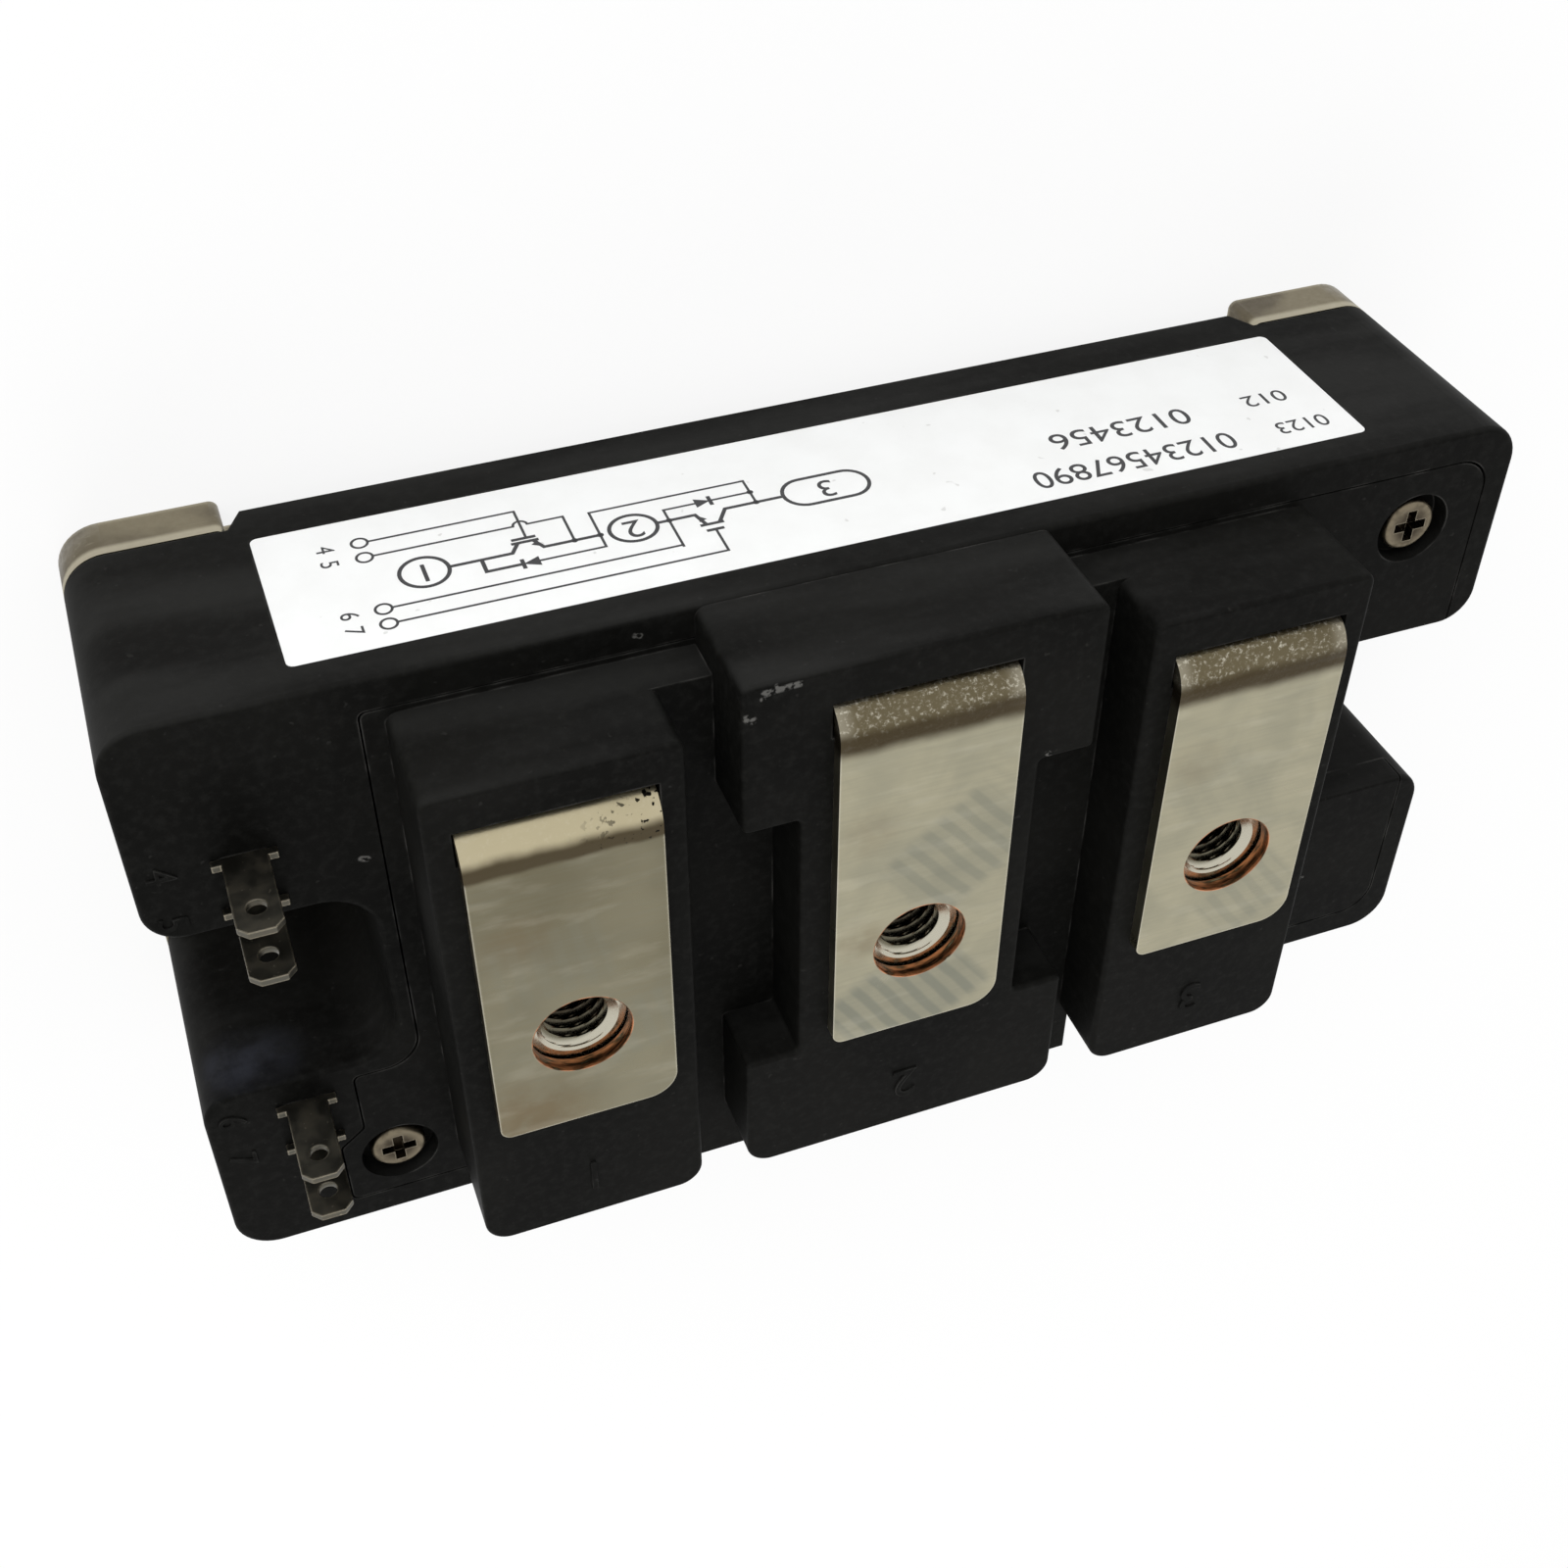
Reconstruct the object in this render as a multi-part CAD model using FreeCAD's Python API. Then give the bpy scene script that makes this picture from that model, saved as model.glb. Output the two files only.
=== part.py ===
import FreeCAD, Part
import math
import os

# A dual power transistor module: a nickel-plated copper base plate, a moulded case with a screwed lid,
# three terminal strips folded over captive nuts, four signal tabs, and the power circuit inside.
# Millimetres. The origin is the centre of the base plate's underside. X runs along the module towards
# the signal tabs, Y runs away from the side with the label, and Z points up.

# Base plate: 94 by 48 mm, worked out below from what stands on it
base_thickness = 3.5
base_corner_radius = 3.0
mounting_hole_inset = 7.0
mounting_hole_diameter = 6.5
ear_length = 11.5
ear_corner_radius = 0.6

# Moulded case: outline, screw notches in both ends, and the skirts that cover the plate's long edges
rim_height = 21.2
rim_edge_radius = 0.4
notch_width = 15.0
notch_depth = 13.6
notch_inner_radius = 3.5
arm_corner_radius = 2.5
skirt_drop = 1.7
skirt_thickness = 1.9
skirt_end_slope = 1.0
skirt_clearance = 0.15
seal_thickness = 0.15
seal_setback = 0.3

# Case walls
side_rim_width = 2.4
end_rim_width = 2.0
inner_end_rim_width = 1.2
ledge_width = 1.0
notch_wall = 2.2
arm_end_wall = 3.0
arm_roof = 4.4
room_corner_radius = 1.0
leg_channel_depth = 1.0
leg_channel_clearance = 0.4

# Lid: plate, raised pedestal and terminal blocks
lid_thickness = 2.4
lid_clearance = 0.12
lid_corner_radius = 2.5
lid_small_radius = 0.5
lid_tongue_reach = 3.5
lid_tongue_start = 1.5
lid_tongue_step = 1.8
lid_tongue_slope_beyond_tab = 0.4
lid_tongue_slope_rise = 1.5
pedestal_height = 3.2
pedestal_half_width = 16.0
overhang_setback = 0.1
pedestal_front_inset = 2.8
block_width = 15.6
block_end_gap = 1.4
block_front_inset = 2.8
block_back_inset = 4.0
middle_core_width = 16.1
middle_wide_width = 23.6
middle_wide_front_depth = 11.4
middle_wide_back_depth = 11.0
block_near_radius = 0.8
block_far_radius = 1.8
block_notch_radius = 0.4
block_edge_radius = 0.35
core_pocket_half_width = 5.5
core_pocket_roof = 2.5
core_pocket_wall = 2.0
gap_pocket_width = 4.0
gap_pocket_inset = 6.0
gap_pocket_roof = 2.2

# Terminal strips, folded over the blocks
terminal_pitch = 23.0
terminal_rise = 9.3
strip_width = 12.0
strip_thickness = 1.0
strip_tip = 8.0
strip_hole_diameter = 6.5
strip_bend_radius = 1.5
side_leg_inset = 5.7
middle_leg_inset = 2.9
strip_foot_length = 6.0
strip_foot_bend_radius = 0.8
strip_tip_large_radius = 2.0
strip_tip_small_radius = 0.8
strip_slot_clearance = 0.15

# Captive M5 nuts and the wells for the screw ends
nut_across_flats = 8.0
nut_height = 4.0
nut_bore_diameter = 4.134
nut_countersink_diameter = 5.4
nut_countersink_depth = 0.35
nut_corner_chamfer = 0.35
nut_pocket_clearance = 0.1
nut_sink = 0.2
screw_well_diameter = 6.0
screw_well_depth = 4.5

# Signal tabs, moulded into the case at the +X end
tab_inset = 6.7
tab_spacing = 4.0
near_tab_beside_notch = 1.5
far_tab_beside_notch = 2.5
tab_thickness = 0.5
tab_width = 2.8
tab_rise = 6.7
tab_tip_chamfer = 0.6
tab_hole_diameter = 1.2
tab_hole_below_tip = 2.0
tab_shoulder_width = 4.0
tab_shoulder_height = 0.6
tab_arm_height = 1.5
tab_arm_below_ledge = 0.1
tab_leg_width = 1.5
tab_leg_wall_clearance = 0.2
tab_leg_bottom = 12.0

# Lid screws: one on the arm at the near -X corner, one beside the notch at the +X end
near_screw_end_inset = 7.1
near_screw_side_inset = 7.0
far_screw_beyond_notch_end = 1.5
far_screw_side_inset = 6.2
lid_screw_head_diameter = 3.9
lid_screw_head_height = 1.2
lid_screw_head_edge_radius = 0.4
lid_screw_shank_diameter = 2.0
lid_screw_length = 9.0
lid_screw_cross_length = 2.4
lid_screw_cross_width = 0.7
lid_screw_cross_depth = 0.8
counterbore_diameter = 5.4
counterbore_depth = 1.5
lid_screw_hole_clearance = 0.15
screw_boss_radius = 2.8
screw_bore_spare_depth = 1.0

# Label, set in a shallow recess
label_start_inset = 10.5
label_end_inset = 11.5
label_above_case_bottom = 1.45
label_below_rim = 2.6
label_thickness = 0.12
label_recess = 0.15
label_corner_radius = 0.5
label_setback = 0.05

# Power circuit on two ceramic substrates
substrate_gap = 2.0
substrate_end_gap = 3.2
substrate_side_gap = 2.1
substrate_length = 37.0
substrate_solder_thickness = 0.2
back_copper_thickness = 0.3
ceramic_thickness = 0.63
track_thickness = 0.3
track_margin = 0.7
track_gap = 0.8
front_track_depth = 9.0
signal_track_depth = 2.9
chip_solder_thickness = 0.1
chip_thickness = 0.3
transistor_chip_size = 9.5
transistor_chip_place = (-5.5, 7.5)
diode_chip_size = 7.5
diode_chip_place = (-5.5, -2.5)
wire_diameter = 0.4
wire_rise = 2.0
wire_bend_radius = 1.4
wire_count = 5
wire_spacing = 1.4
gate_wire_diameter = 0.25
gate_wire_spacing = 5.0
lead_diameter = 0.45
lead_height = 8.6
lead_bend_radius = 1.2
lead_inset = 2.5
gel_depth = 7.0

shortest_edge = 0.001

Vector = FreeCAD.Vector
SIDES = (-1, 1)

lid_end = terminal_pitch + block_width / 2 + block_end_gap
notch_end = lid_end + inner_end_rim_width
half_length = notch_end + notch_depth
room_side = substrate_length / 2 + substrate_side_gap
half_width = room_side + ledge_width + side_rim_width
mounting_hole_x = half_length - mounting_hole_inset
skirt_bottom_half_length = half_length - ear_length
notch_half_width = notch_width / 2
case_bottom = base_thickness + seal_thickness
ledge_height = rim_height - lid_thickness
pedestal_top = rim_height + pedestal_height
terminal_top = rim_height + terminal_rise
block_top = terminal_top - strip_thickness
block_front = block_front_inset - half_width
block_back = half_width - block_back_inset
room_end = notch_end - notch_wall
arm_room_start = notch_half_width + notch_wall
arm_room_end = half_length - arm_end_wall
arm_ceiling = rim_height - arm_roof
lid_tongue_end = notch_end + lid_tongue_reach
strip_outer_bend_radius = strip_bend_radius + strip_thickness
nut_top = block_top - nut_sink
nut_bottom = nut_top - nut_height
tab_x = half_length - tab_inset
near_tab_row = notch_half_width + near_tab_beside_notch
far_tab_row = notch_half_width + far_tab_beside_notch
tab_rows = (-near_tab_row - tab_spacing, -near_tab_row, far_tab_row, far_tab_row + tab_spacing)
tab_tip_height = rim_height + tab_rise
tab_arm_top = ledge_height - tab_arm_below_ledge
tab_arm_bottom = tab_arm_top - tab_arm_height
tab_leg_end = room_end - tab_leg_wall_clearance
near_screw_place = (near_screw_end_inset - half_length, near_screw_side_inset - half_width)
far_screw_place = (notch_end + far_screw_beyond_notch_end, half_width - far_screw_side_inset)
lid_screw_places = (near_screw_place, far_screw_place)
lid_screw_seat = rim_height - counterbore_depth
substrate_width = room_end - substrate_end_gap - substrate_gap / 2
substrate_pitch = substrate_width + substrate_gap
copper_bottom = base_thickness + substrate_solder_thickness
ceramic_bottom = copper_bottom + back_copper_thickness
track_bottom = ceramic_bottom + ceramic_thickness
track_top = track_bottom + track_thickness
chip_bottom = track_top + chip_solder_thickness
chip_top = chip_bottom + chip_thickness
gel_top = base_thickness + gel_depth
terminal_places = (terminal_pitch, 0.0, -terminal_pitch)
strip_legs = tuple(inset - half_width for inset in (side_leg_inset, middle_leg_inset, side_leg_inset))


# Helpers

def box(x_range, y_range, z_range):
    """Block between two limits on each axis."""
    sizes = [high - low for low, high in (x_range, y_range, z_range)]
    return Part.makeBox(*sizes, Vector(x_range[0], y_range[0], z_range[0]))


def span(centre, size):
    """The two limits of a size set about its centre."""
    return (centre - size / 2, centre + size / 2)


def cylinder(x, y, diameter, z_range):
    """Upright cylinder between two heights."""
    return Part.makeCylinder(diameter / 2, z_range[1] - z_range[0], Vector(x, y, z_range[0]))


def rounded_path(points, radii, closed):
    """Edges through the points, with a tangent arc at each point that has a radius."""
    arrivals = []
    departures = []
    arcs = []
    for i, (point, radius) in enumerate(zip(points, radii)):
        arrival = departure = point
        arc = None
        if radius > 0:
            back = (points[i - 1] - point).normalize()
            ahead = (points[(i + 1) % len(points)] - point).normalize()
            half_angle = back.getAngle(ahead) / 2
            reach = radius / math.tan(half_angle)
            middle = point + (back + ahead).normalize() * (radius / math.sin(half_angle) - radius)
            arrival = point + back * reach
            departure = point + ahead * reach
            arc = Part.Arc(arrival, middle, departure).toShape()
        arrivals.append(arrival)
        departures.append(departure)
        arcs.append(arc)
    edges = []
    for i, arc in enumerate(arcs):
        if arc:
            edges.append(arc)
        following = (i + 1) % len(points)
        is_last = following == 0 and not closed
        if not is_last and departures[i].distanceToPoint(arrivals[following]) > shortest_edge:
            edges.append(Part.makeLine(departures[i], arrivals[following]))
    return edges


def prism(corners, z_range):
    """Upright solid over a closed outline of (x, y, radius) corners."""
    points = [Vector(x, y, z_range[0]) for x, y, radius in corners]
    wire = Part.Wire(rounded_path(points, [radius for x, y, radius in corners], True))
    return Part.Face(wire).extrude(Vector(0, 0, z_range[1] - z_range[0]))


def front_prism(corners, y_range):
    """Solid over an outline of (x, z, radius) corners, from one Y to another."""
    shape = prism(corners, (-y_range[1], -y_range[0]))
    shape.Placement = FreeCAD.Placement(Vector(), FreeCAD.Rotation(Vector(1, 0, 0), 90))
    return shape


def side_prism(corners, x_range):
    """Solid over an outline of (y, z, radius) corners, from one X to another."""
    shape = prism(corners, x_range)
    shape.Placement = FreeCAD.Placement(Vector(), FreeCAD.Rotation(Vector(1, 1, 1), 120))
    return shape


def rectangle(x_range, y_range, radius):
    """Corners of an upright rectangle with one corner radius."""
    return [(x_range[0], y_range[0], radius), (x_range[1], y_range[0], radius),
            (x_range[1], y_range[1], radius), (x_range[0], y_range[1], radius)]


def mirrored(right_half):
    """Closed outline from the corners of its +X half, listed towards +Y."""
    return right_half + [(-x, y, radius) for x, y, radius in reversed(right_half)]


def round_top(shape, radius):
    """Round every edge that lies in the shape's highest plane."""
    top = shape.BoundBox.ZMax
    edges = [edge for edge in shape.Edges if edge.BoundBox.ZMin > top - shortest_edge]
    return shape.makeFillet(radius, edges)


def bent_wire(points, diameter, bend_radius):
    """Round wire along straight runs joined by tangent arcs."""
    radii = [0] + [bend_radius] * (len(points) - 2) + [0]
    path = Part.Wire(rounded_path(points, radii, False))
    circle = Part.makeCircle(diameter / 2, points[0], points[1] - points[0])
    return path.makePipeShell([Part.Wire(circle)], True, False)


def bond_loop(start, end, diameter):
    """Bond wire that rises from one pad, crosses over and comes down on another."""
    crest = max(start.z, end.z) + wire_rise
    over_start = Vector(start.x, start.y, crest)
    over_end = Vector(end.x, end.y, crest)
    return bent_wire([start, over_start, over_end, end], diameter, wire_bend_radius)


# Base plate

def base_outline():
    """Plate outline: full width at the four ears, set back between them to clear the case skirts."""
    recess_half_length = skirt_bottom_half_length + skirt_end_slope + skirt_clearance
    recess_y = half_width - skirt_thickness - skirt_clearance
    near_side = [(recess_half_length, -recess_y, 0), (recess_half_length, -half_width, ear_corner_radius),
                 (half_length, -half_width, base_corner_radius)]
    far_side = [(x, -y, radius) for x, y, radius in reversed(near_side)]
    return mirrored(near_side + far_side)


def base_plate():
    plate = prism(base_outline(), (0, base_thickness))
    for side in SIDES:
        plate = plate.cut(cylinder(side * mounting_hole_x, 0, mounting_hole_diameter, (0, base_thickness)))
    return plate


# Case frame

def case_outline(setback=0.0):
    """Outer outline of the case with its two screw notches, optionally set back all round."""
    end_x = half_length - setback
    side_y = half_width - setback
    notch_y = notch_half_width + setback
    near_arm = [(end_x, -side_y, base_corner_radius - setback),
                (end_x, -notch_y, arm_corner_radius - setback),
                (notch_end - setback, -notch_y, notch_inner_radius + setback)]
    far_arm = [(x, -y, radius) for x, y, radius in reversed(near_arm)]
    return mirrored(near_arm + far_arm)


def lid_outline(growth=0.0):
    """Lid outline: square over the -X end, with a tongue around the notch at the +X end."""
    near_y = -(half_width - side_rim_width) - growth
    far_y = half_width - side_rim_width + growth
    start_x = -(half_length - end_rim_width) - growth
    tongue_x = lid_tongue_end + growth
    tongue_y = notch_half_width + lid_tongue_start - growth
    slope_y = tab_rows[-1] + lid_tongue_slope_beyond_tab - growth
    return [(start_x, near_y, lid_corner_radius), (lid_end + growth, near_y, lid_small_radius),
            (lid_end + growth, tongue_y, lid_corner_radius), (tongue_x, tongue_y, lid_small_radius),
            (tongue_x, slope_y, lid_small_radius),
            (tongue_x + lid_tongue_step, slope_y + lid_tongue_slope_rise, lid_small_radius),
            (tongue_x + lid_tongue_step, far_y, lid_small_radius), (start_x, far_y, lid_corner_radius)]


def case_envelope():
    """The whole closed case, before the lid is parted from the frame."""
    return round_top(prism(case_outline(), (case_bottom, rim_height)), rim_edge_radius)


def room_shape(bottom):
    """Space inside the case, from the given height up to the lid's ledge."""
    height = (bottom, ledge_height)
    room = prism(rectangle((-room_end, room_end), (-room_side, room_side), room_corner_radius), height)
    arm_x = (room_end - room_corner_radius, arm_room_end)
    tongue_x = (arm_x[0], lid_tongue_end + lid_tongue_step - ledge_width)
    for side in SIDES:
        arm_y = tuple(sorted((side * arm_room_start, side * room_side)))
        room = room.fuse(box((-arm_x[1], -arm_x[0]), arm_y, height))
        room = room.fuse(box(arm_x, arm_y, (bottom, arm_ceiling)))
    tongue_y = (notch_half_width + lid_tongue_start + ledge_width, room_side)
    room = room.fuse(box(tongue_x, tongue_y, height))
    channel_x = span(0, strip_width + 2 * leg_channel_clearance)
    room = room.fuse(box(channel_x, (-room_side - leg_channel_depth, -room_side + ledge_width), height))
    return room.removeSplitter()


def screw_bosses():
    """Posts for the two lid screws, each joined to the case's long wall."""
    bosses = []
    for x, y in lid_screw_places:
        height = (case_bottom, ledge_height)
        wall_y = math.copysign(room_side + ledge_width, y)
        boss = cylinder(x, y, 2 * screw_boss_radius, height)
        rib_y = tuple(sorted((y, wall_y)))
        bosses.append(boss.fuse(box(span(x, 2 * screw_boss_radius), rib_y, height)))
    return bosses


def skirts():
    """Skirts that hang from the two long walls over the base plate's edges."""
    bottom = base_thickness - skirt_drop
    top_half_length = skirt_bottom_half_length + skirt_end_slope
    corners = [(skirt_bottom_half_length, bottom, 0), (top_half_length, case_bottom, 0)]
    outline = [(-x, z, radius) for x, z, radius in corners] + list(reversed(corners))
    pieces = []
    for side in SIDES:
        y_range = tuple(sorted((side * half_width, side * (half_width - skirt_thickness))))
        pieces.append(front_prism(outline, y_range))
    return pieces


def label_outline(setback=0.0):
    """Corners of the label on the case's near side, as (x, z, radius)."""
    x_range = (label_start_inset - half_length + setback, half_length - label_end_inset - setback)
    z_range = (case_bottom + label_above_case_bottom + setback, rim_height - label_below_rim - setback)
    return rectangle(x_range, z_range, label_corner_radius)


def housing_frame(tabs):
    frame = case_envelope()
    frame = frame.cut(room_shape(case_bottom))
    frame = frame.cut(prism(lid_outline(lid_clearance), (ledge_height, rim_height)))
    for piece in screw_bosses() + skirts():
        frame = frame.fuse(piece)
    for x, y in lid_screw_places:
        bore_depth = lid_screw_length + screw_bore_spare_depth - (lid_screw_seat - ledge_height)
        bore = cylinder(x, y, lid_screw_shank_diameter, (ledge_height - bore_depth, ledge_height))
        frame = frame.cut(bore)
    frame = frame.cut(front_prism(label_outline(), (-half_width, -half_width + label_recess)))
    for tab in tabs:
        frame = frame.cut(tab)
    return frame.removeSplitter()


def frame_seal():
    """Bead of adhesive between the frame's foot and the base plate."""
    height = (base_thickness, case_bottom)
    seal = prism(case_outline(seal_setback), height).common(prism(base_outline(), height))
    return seal.cut(room_shape(base_thickness))


def rating_label():
    back = -half_width + label_recess
    return front_prism(label_outline(label_setback), (back - label_thickness, back))


# Lid

def block_outline(index):
    """Outline of one terminal block: plain at the sides, waisted in the middle."""
    if index != 1:
        x_range = span(terminal_places[index], block_width)
        near = [(x, block_front, block_near_radius) for x in x_range]
        far = [(x, block_back, block_far_radius) for x in reversed(x_range)]
        return near + far
    wide = middle_wide_width / 2
    core = middle_core_width / 2
    front = -half_width + overhang_setback
    right_half = [(wide, front, block_near_radius),
                  (wide, front + middle_wide_front_depth, block_notch_radius),
                  (core, front + middle_wide_front_depth, block_notch_radius),
                  (core, block_back - middle_wide_back_depth, block_notch_radius),
                  (wide, block_back - middle_wide_back_depth, block_notch_radius),
                  (wide, block_back, block_far_radius)]
    return mirrored(right_half)


def strip_slot(index):
    """Slot for a strip's leg, opened at the top to take the bend."""
    leg = strip_legs[index]
    x_range = span(terminal_places[index], strip_width + 2 * strip_slot_clearance)
    near_y = leg - strip_slot_clearance
    slot = box(x_range, (near_y, leg + strip_thickness + strip_slot_clearance), (ledge_height, block_top))
    bend_height = (terminal_top - strip_outer_bend_radius, block_top)
    return slot.fuse(box(x_range, (near_y, leg + strip_outer_bend_radius), bend_height))


def nut_outline(x, clearance):
    """Hexagon of a nut with two flats facing the block's sides."""
    corner_distance = (nut_across_flats / 2 + clearance) / math.cos(math.radians(30))
    angles = [math.radians(30 + 60 * i) for i in range(6)]
    return [(x + corner_distance * math.cos(a), corner_distance * math.sin(a), 0) for a in angles]


def nut_well(index):
    """Pocket for the captive nut, with a deeper bore for the end of a long screw."""
    x = terminal_places[index]
    pocket = prism(nut_outline(x, nut_pocket_clearance), (nut_bottom, block_top))
    return pocket.fuse(cylinder(x, 0, screw_well_diameter, (nut_bottom - screw_well_depth, nut_bottom)))


def core_pockets(index):
    """Pockets from below that keep the block's walls of even thickness."""
    x_range = span(terminal_places[index], 2 * core_pocket_half_width)
    height = (ledge_height, block_top - core_pocket_roof)
    well_y = nut_across_flats / 2 + nut_pocket_clearance + core_pocket_wall
    near_y = strip_legs[index] + strip_outer_bend_radius + core_pocket_wall
    near = box(x_range, (near_y, -well_y), height)
    return near.fuse(box(x_range, (well_y, block_back - core_pocket_wall), height))


def gap_pockets():
    """Long pockets below the pedestal, between the terminal blocks."""
    height = (ledge_height, pedestal_top - gap_pocket_roof)
    pockets = []
    for side in SIDES:
        gap_centre = side * (middle_core_width / 2 + terminal_pitch - block_width / 2) / 2
        pocket_length = 2 * (half_width - gap_pocket_inset)
        pockets.append(box(span(gap_centre, gap_pocket_width), span(0, pocket_length), height))
    return pockets


def housing_lid():
    lid = case_envelope().common(prism(lid_outline(), (ledge_height, rim_height)))
    pedestal_y = (pedestal_front_inset - half_width, half_width - overhang_setback)
    lid = lid.fuse(box(span(0, 2 * pedestal_half_width), pedestal_y, (rim_height, pedestal_top)))
    for index in range(len(terminal_places)):
        block = prism(block_outline(index), (rim_height, block_top))
        lid = lid.fuse(round_top(block, block_edge_radius))
    for index in range(len(terminal_places)):
        for opening in (strip_slot(index), nut_well(index), core_pockets(index)):
            lid = lid.cut(opening)
    for pocket in gap_pockets():
        lid = lid.cut(pocket)
    for x, y in lid_screw_places:
        hole_diameter = lid_screw_shank_diameter + 2 * lid_screw_hole_clearance
        lid = lid.cut(cylinder(x, y, hole_diameter, (ledge_height, rim_height)))
        lid = lid.cut(cylinder(x, y, counterbore_diameter, (lid_screw_seat, rim_height)))
    return lid.removeSplitter()


def lid_screw(place):
    """Self-tapping screw with a domed head and a cross recess."""
    x, y = place
    head_top = lid_screw_seat + lid_screw_head_height
    head = round_top(cylinder(x, y, lid_screw_head_diameter, (lid_screw_seat, head_top)),
                     lid_screw_head_edge_radius)
    shank_height = (lid_screw_seat - lid_screw_length, lid_screw_seat)
    screw = head.fuse(cylinder(x, y, lid_screw_shank_diameter, shank_height))
    recess_height = (head_top - lid_screw_cross_depth, head_top)
    cross_sizes = (lid_screw_cross_length, lid_screw_cross_width)
    for size_x, size_y in (cross_sizes, reversed(cross_sizes)):
        screw = screw.cut(box(span(x, size_x), span(y, size_y), recess_height))
    return screw


# Terminals and tabs

def terminal_strip(index):
    """Strip that stands on the circuit, passes up through its block and folds over the nut."""
    x = terminal_places[index]
    leg = strip_legs[index]
    foot_end = leg + strip_foot_length
    corners = [(foot_end, track_top, 0), (leg, track_top, strip_foot_bend_radius + strip_thickness),
               (leg, terminal_top, strip_outer_bend_radius), (strip_tip, terminal_top, 0),
               (strip_tip, block_top, 0), (leg + strip_thickness, block_top, strip_bend_radius),
               (leg + strip_thickness, track_top + strip_thickness, strip_foot_bend_radius),
               (foot_end, track_top + strip_thickness, 0)]
    x_range = span(x, strip_width)
    strip = side_prism(corners, x_range)
    plan = [(x_range[0], leg, 0), (x_range[1], leg, 0),
            (x_range[1], strip_tip, strip_tip_small_radius), (x_range[0], strip_tip, strip_tip_large_radius)]
    strip = strip.common(prism(plan, (0, terminal_top)))
    return strip.cut(cylinder(x, 0, strip_hole_diameter, (block_top, terminal_top)))


def terminal_nut(x):
    """Hexagon nut with a plain bore at the thread's minor diameter."""
    height = (nut_bottom, nut_top)
    corner_radius = nut_across_flats / 2 / math.cos(math.radians(30))
    blank = cylinder(x, 0, 2 * corner_radius, height)
    rims = [edge for edge in blank.Edges if edge.BoundBox.ZLength < shortest_edge]
    nut = prism(nut_outline(x, 0), height).common(blank.makeChamfer(nut_corner_chamfer, rims))
    nut = nut.cut(cylinder(x, 0, nut_bore_diameter, height))
    wide = nut_countersink_diameter / 2
    narrow = nut_bore_diameter / 2
    lower = Part.makeCone(wide, narrow, nut_countersink_depth, Vector(x, 0, nut_bottom))
    upper = Part.makeCone(narrow, wide, nut_countersink_depth, Vector(x, 0, nut_top - nut_countersink_depth))
    return nut.cut(lower).cut(upper)


def signal_tab(y):
    """Flat stamped tab: blade and shoulders above the case, an arm inside its roof and a solder leg."""
    half_blade = tab_width / 2
    half_shoulder = tab_shoulder_width / 2
    shoulder_top = rim_height + tab_shoulder_height
    right = [(tab_x + half_blade, tab_arm_bottom), (tab_x + half_blade, rim_height),
             (tab_x + half_shoulder, rim_height), (tab_x + half_shoulder, shoulder_top),
             (tab_x + half_blade, shoulder_top), (tab_x + half_blade, tab_tip_height - tab_tip_chamfer),
             (tab_x + half_blade - tab_tip_chamfer, tab_tip_height)]
    left = [(2 * tab_x - x, z) for x, z in reversed(right[1:])]
    arm = [(tab_x - half_blade, tab_arm_top), (tab_leg_end - tab_leg_width, tab_arm_top),
           (tab_leg_end - tab_leg_width, tab_leg_bottom), (tab_leg_end, tab_leg_bottom),
           (tab_leg_end, tab_arm_bottom)]
    outline = [(x, z, 0) for x, z in right + left + arm]
    tab = front_prism(outline, span(y, tab_thickness))
    hole = Part.makeCylinder(tab_hole_diameter / 2, tab_thickness,
                             Vector(tab_x, y - tab_thickness / 2, tab_tip_height - tab_hole_below_tip),
                             Vector(0, 1, 0))
    return tab.cut(hole)


# Power circuit

def substrate_layer(centre_x, margin, z_range):
    """Full-size layer of a substrate, set back by a margin."""
    return box(span(centre_x, substrate_width - 2 * margin), span(0, substrate_length - 2 * margin), z_range)


def track(centre_x, x_range, y_range):
    """Piece of the copper pattern on top of a substrate."""
    return box((centre_x + x_range[0], centre_x + x_range[1]), y_range, (track_bottom, track_top))


def chip(centre_x, place, size, z_range):
    """Square chip, or the solder below it."""
    return box(span(centre_x + place[0], size), span(place[1], size), z_range)


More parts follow.
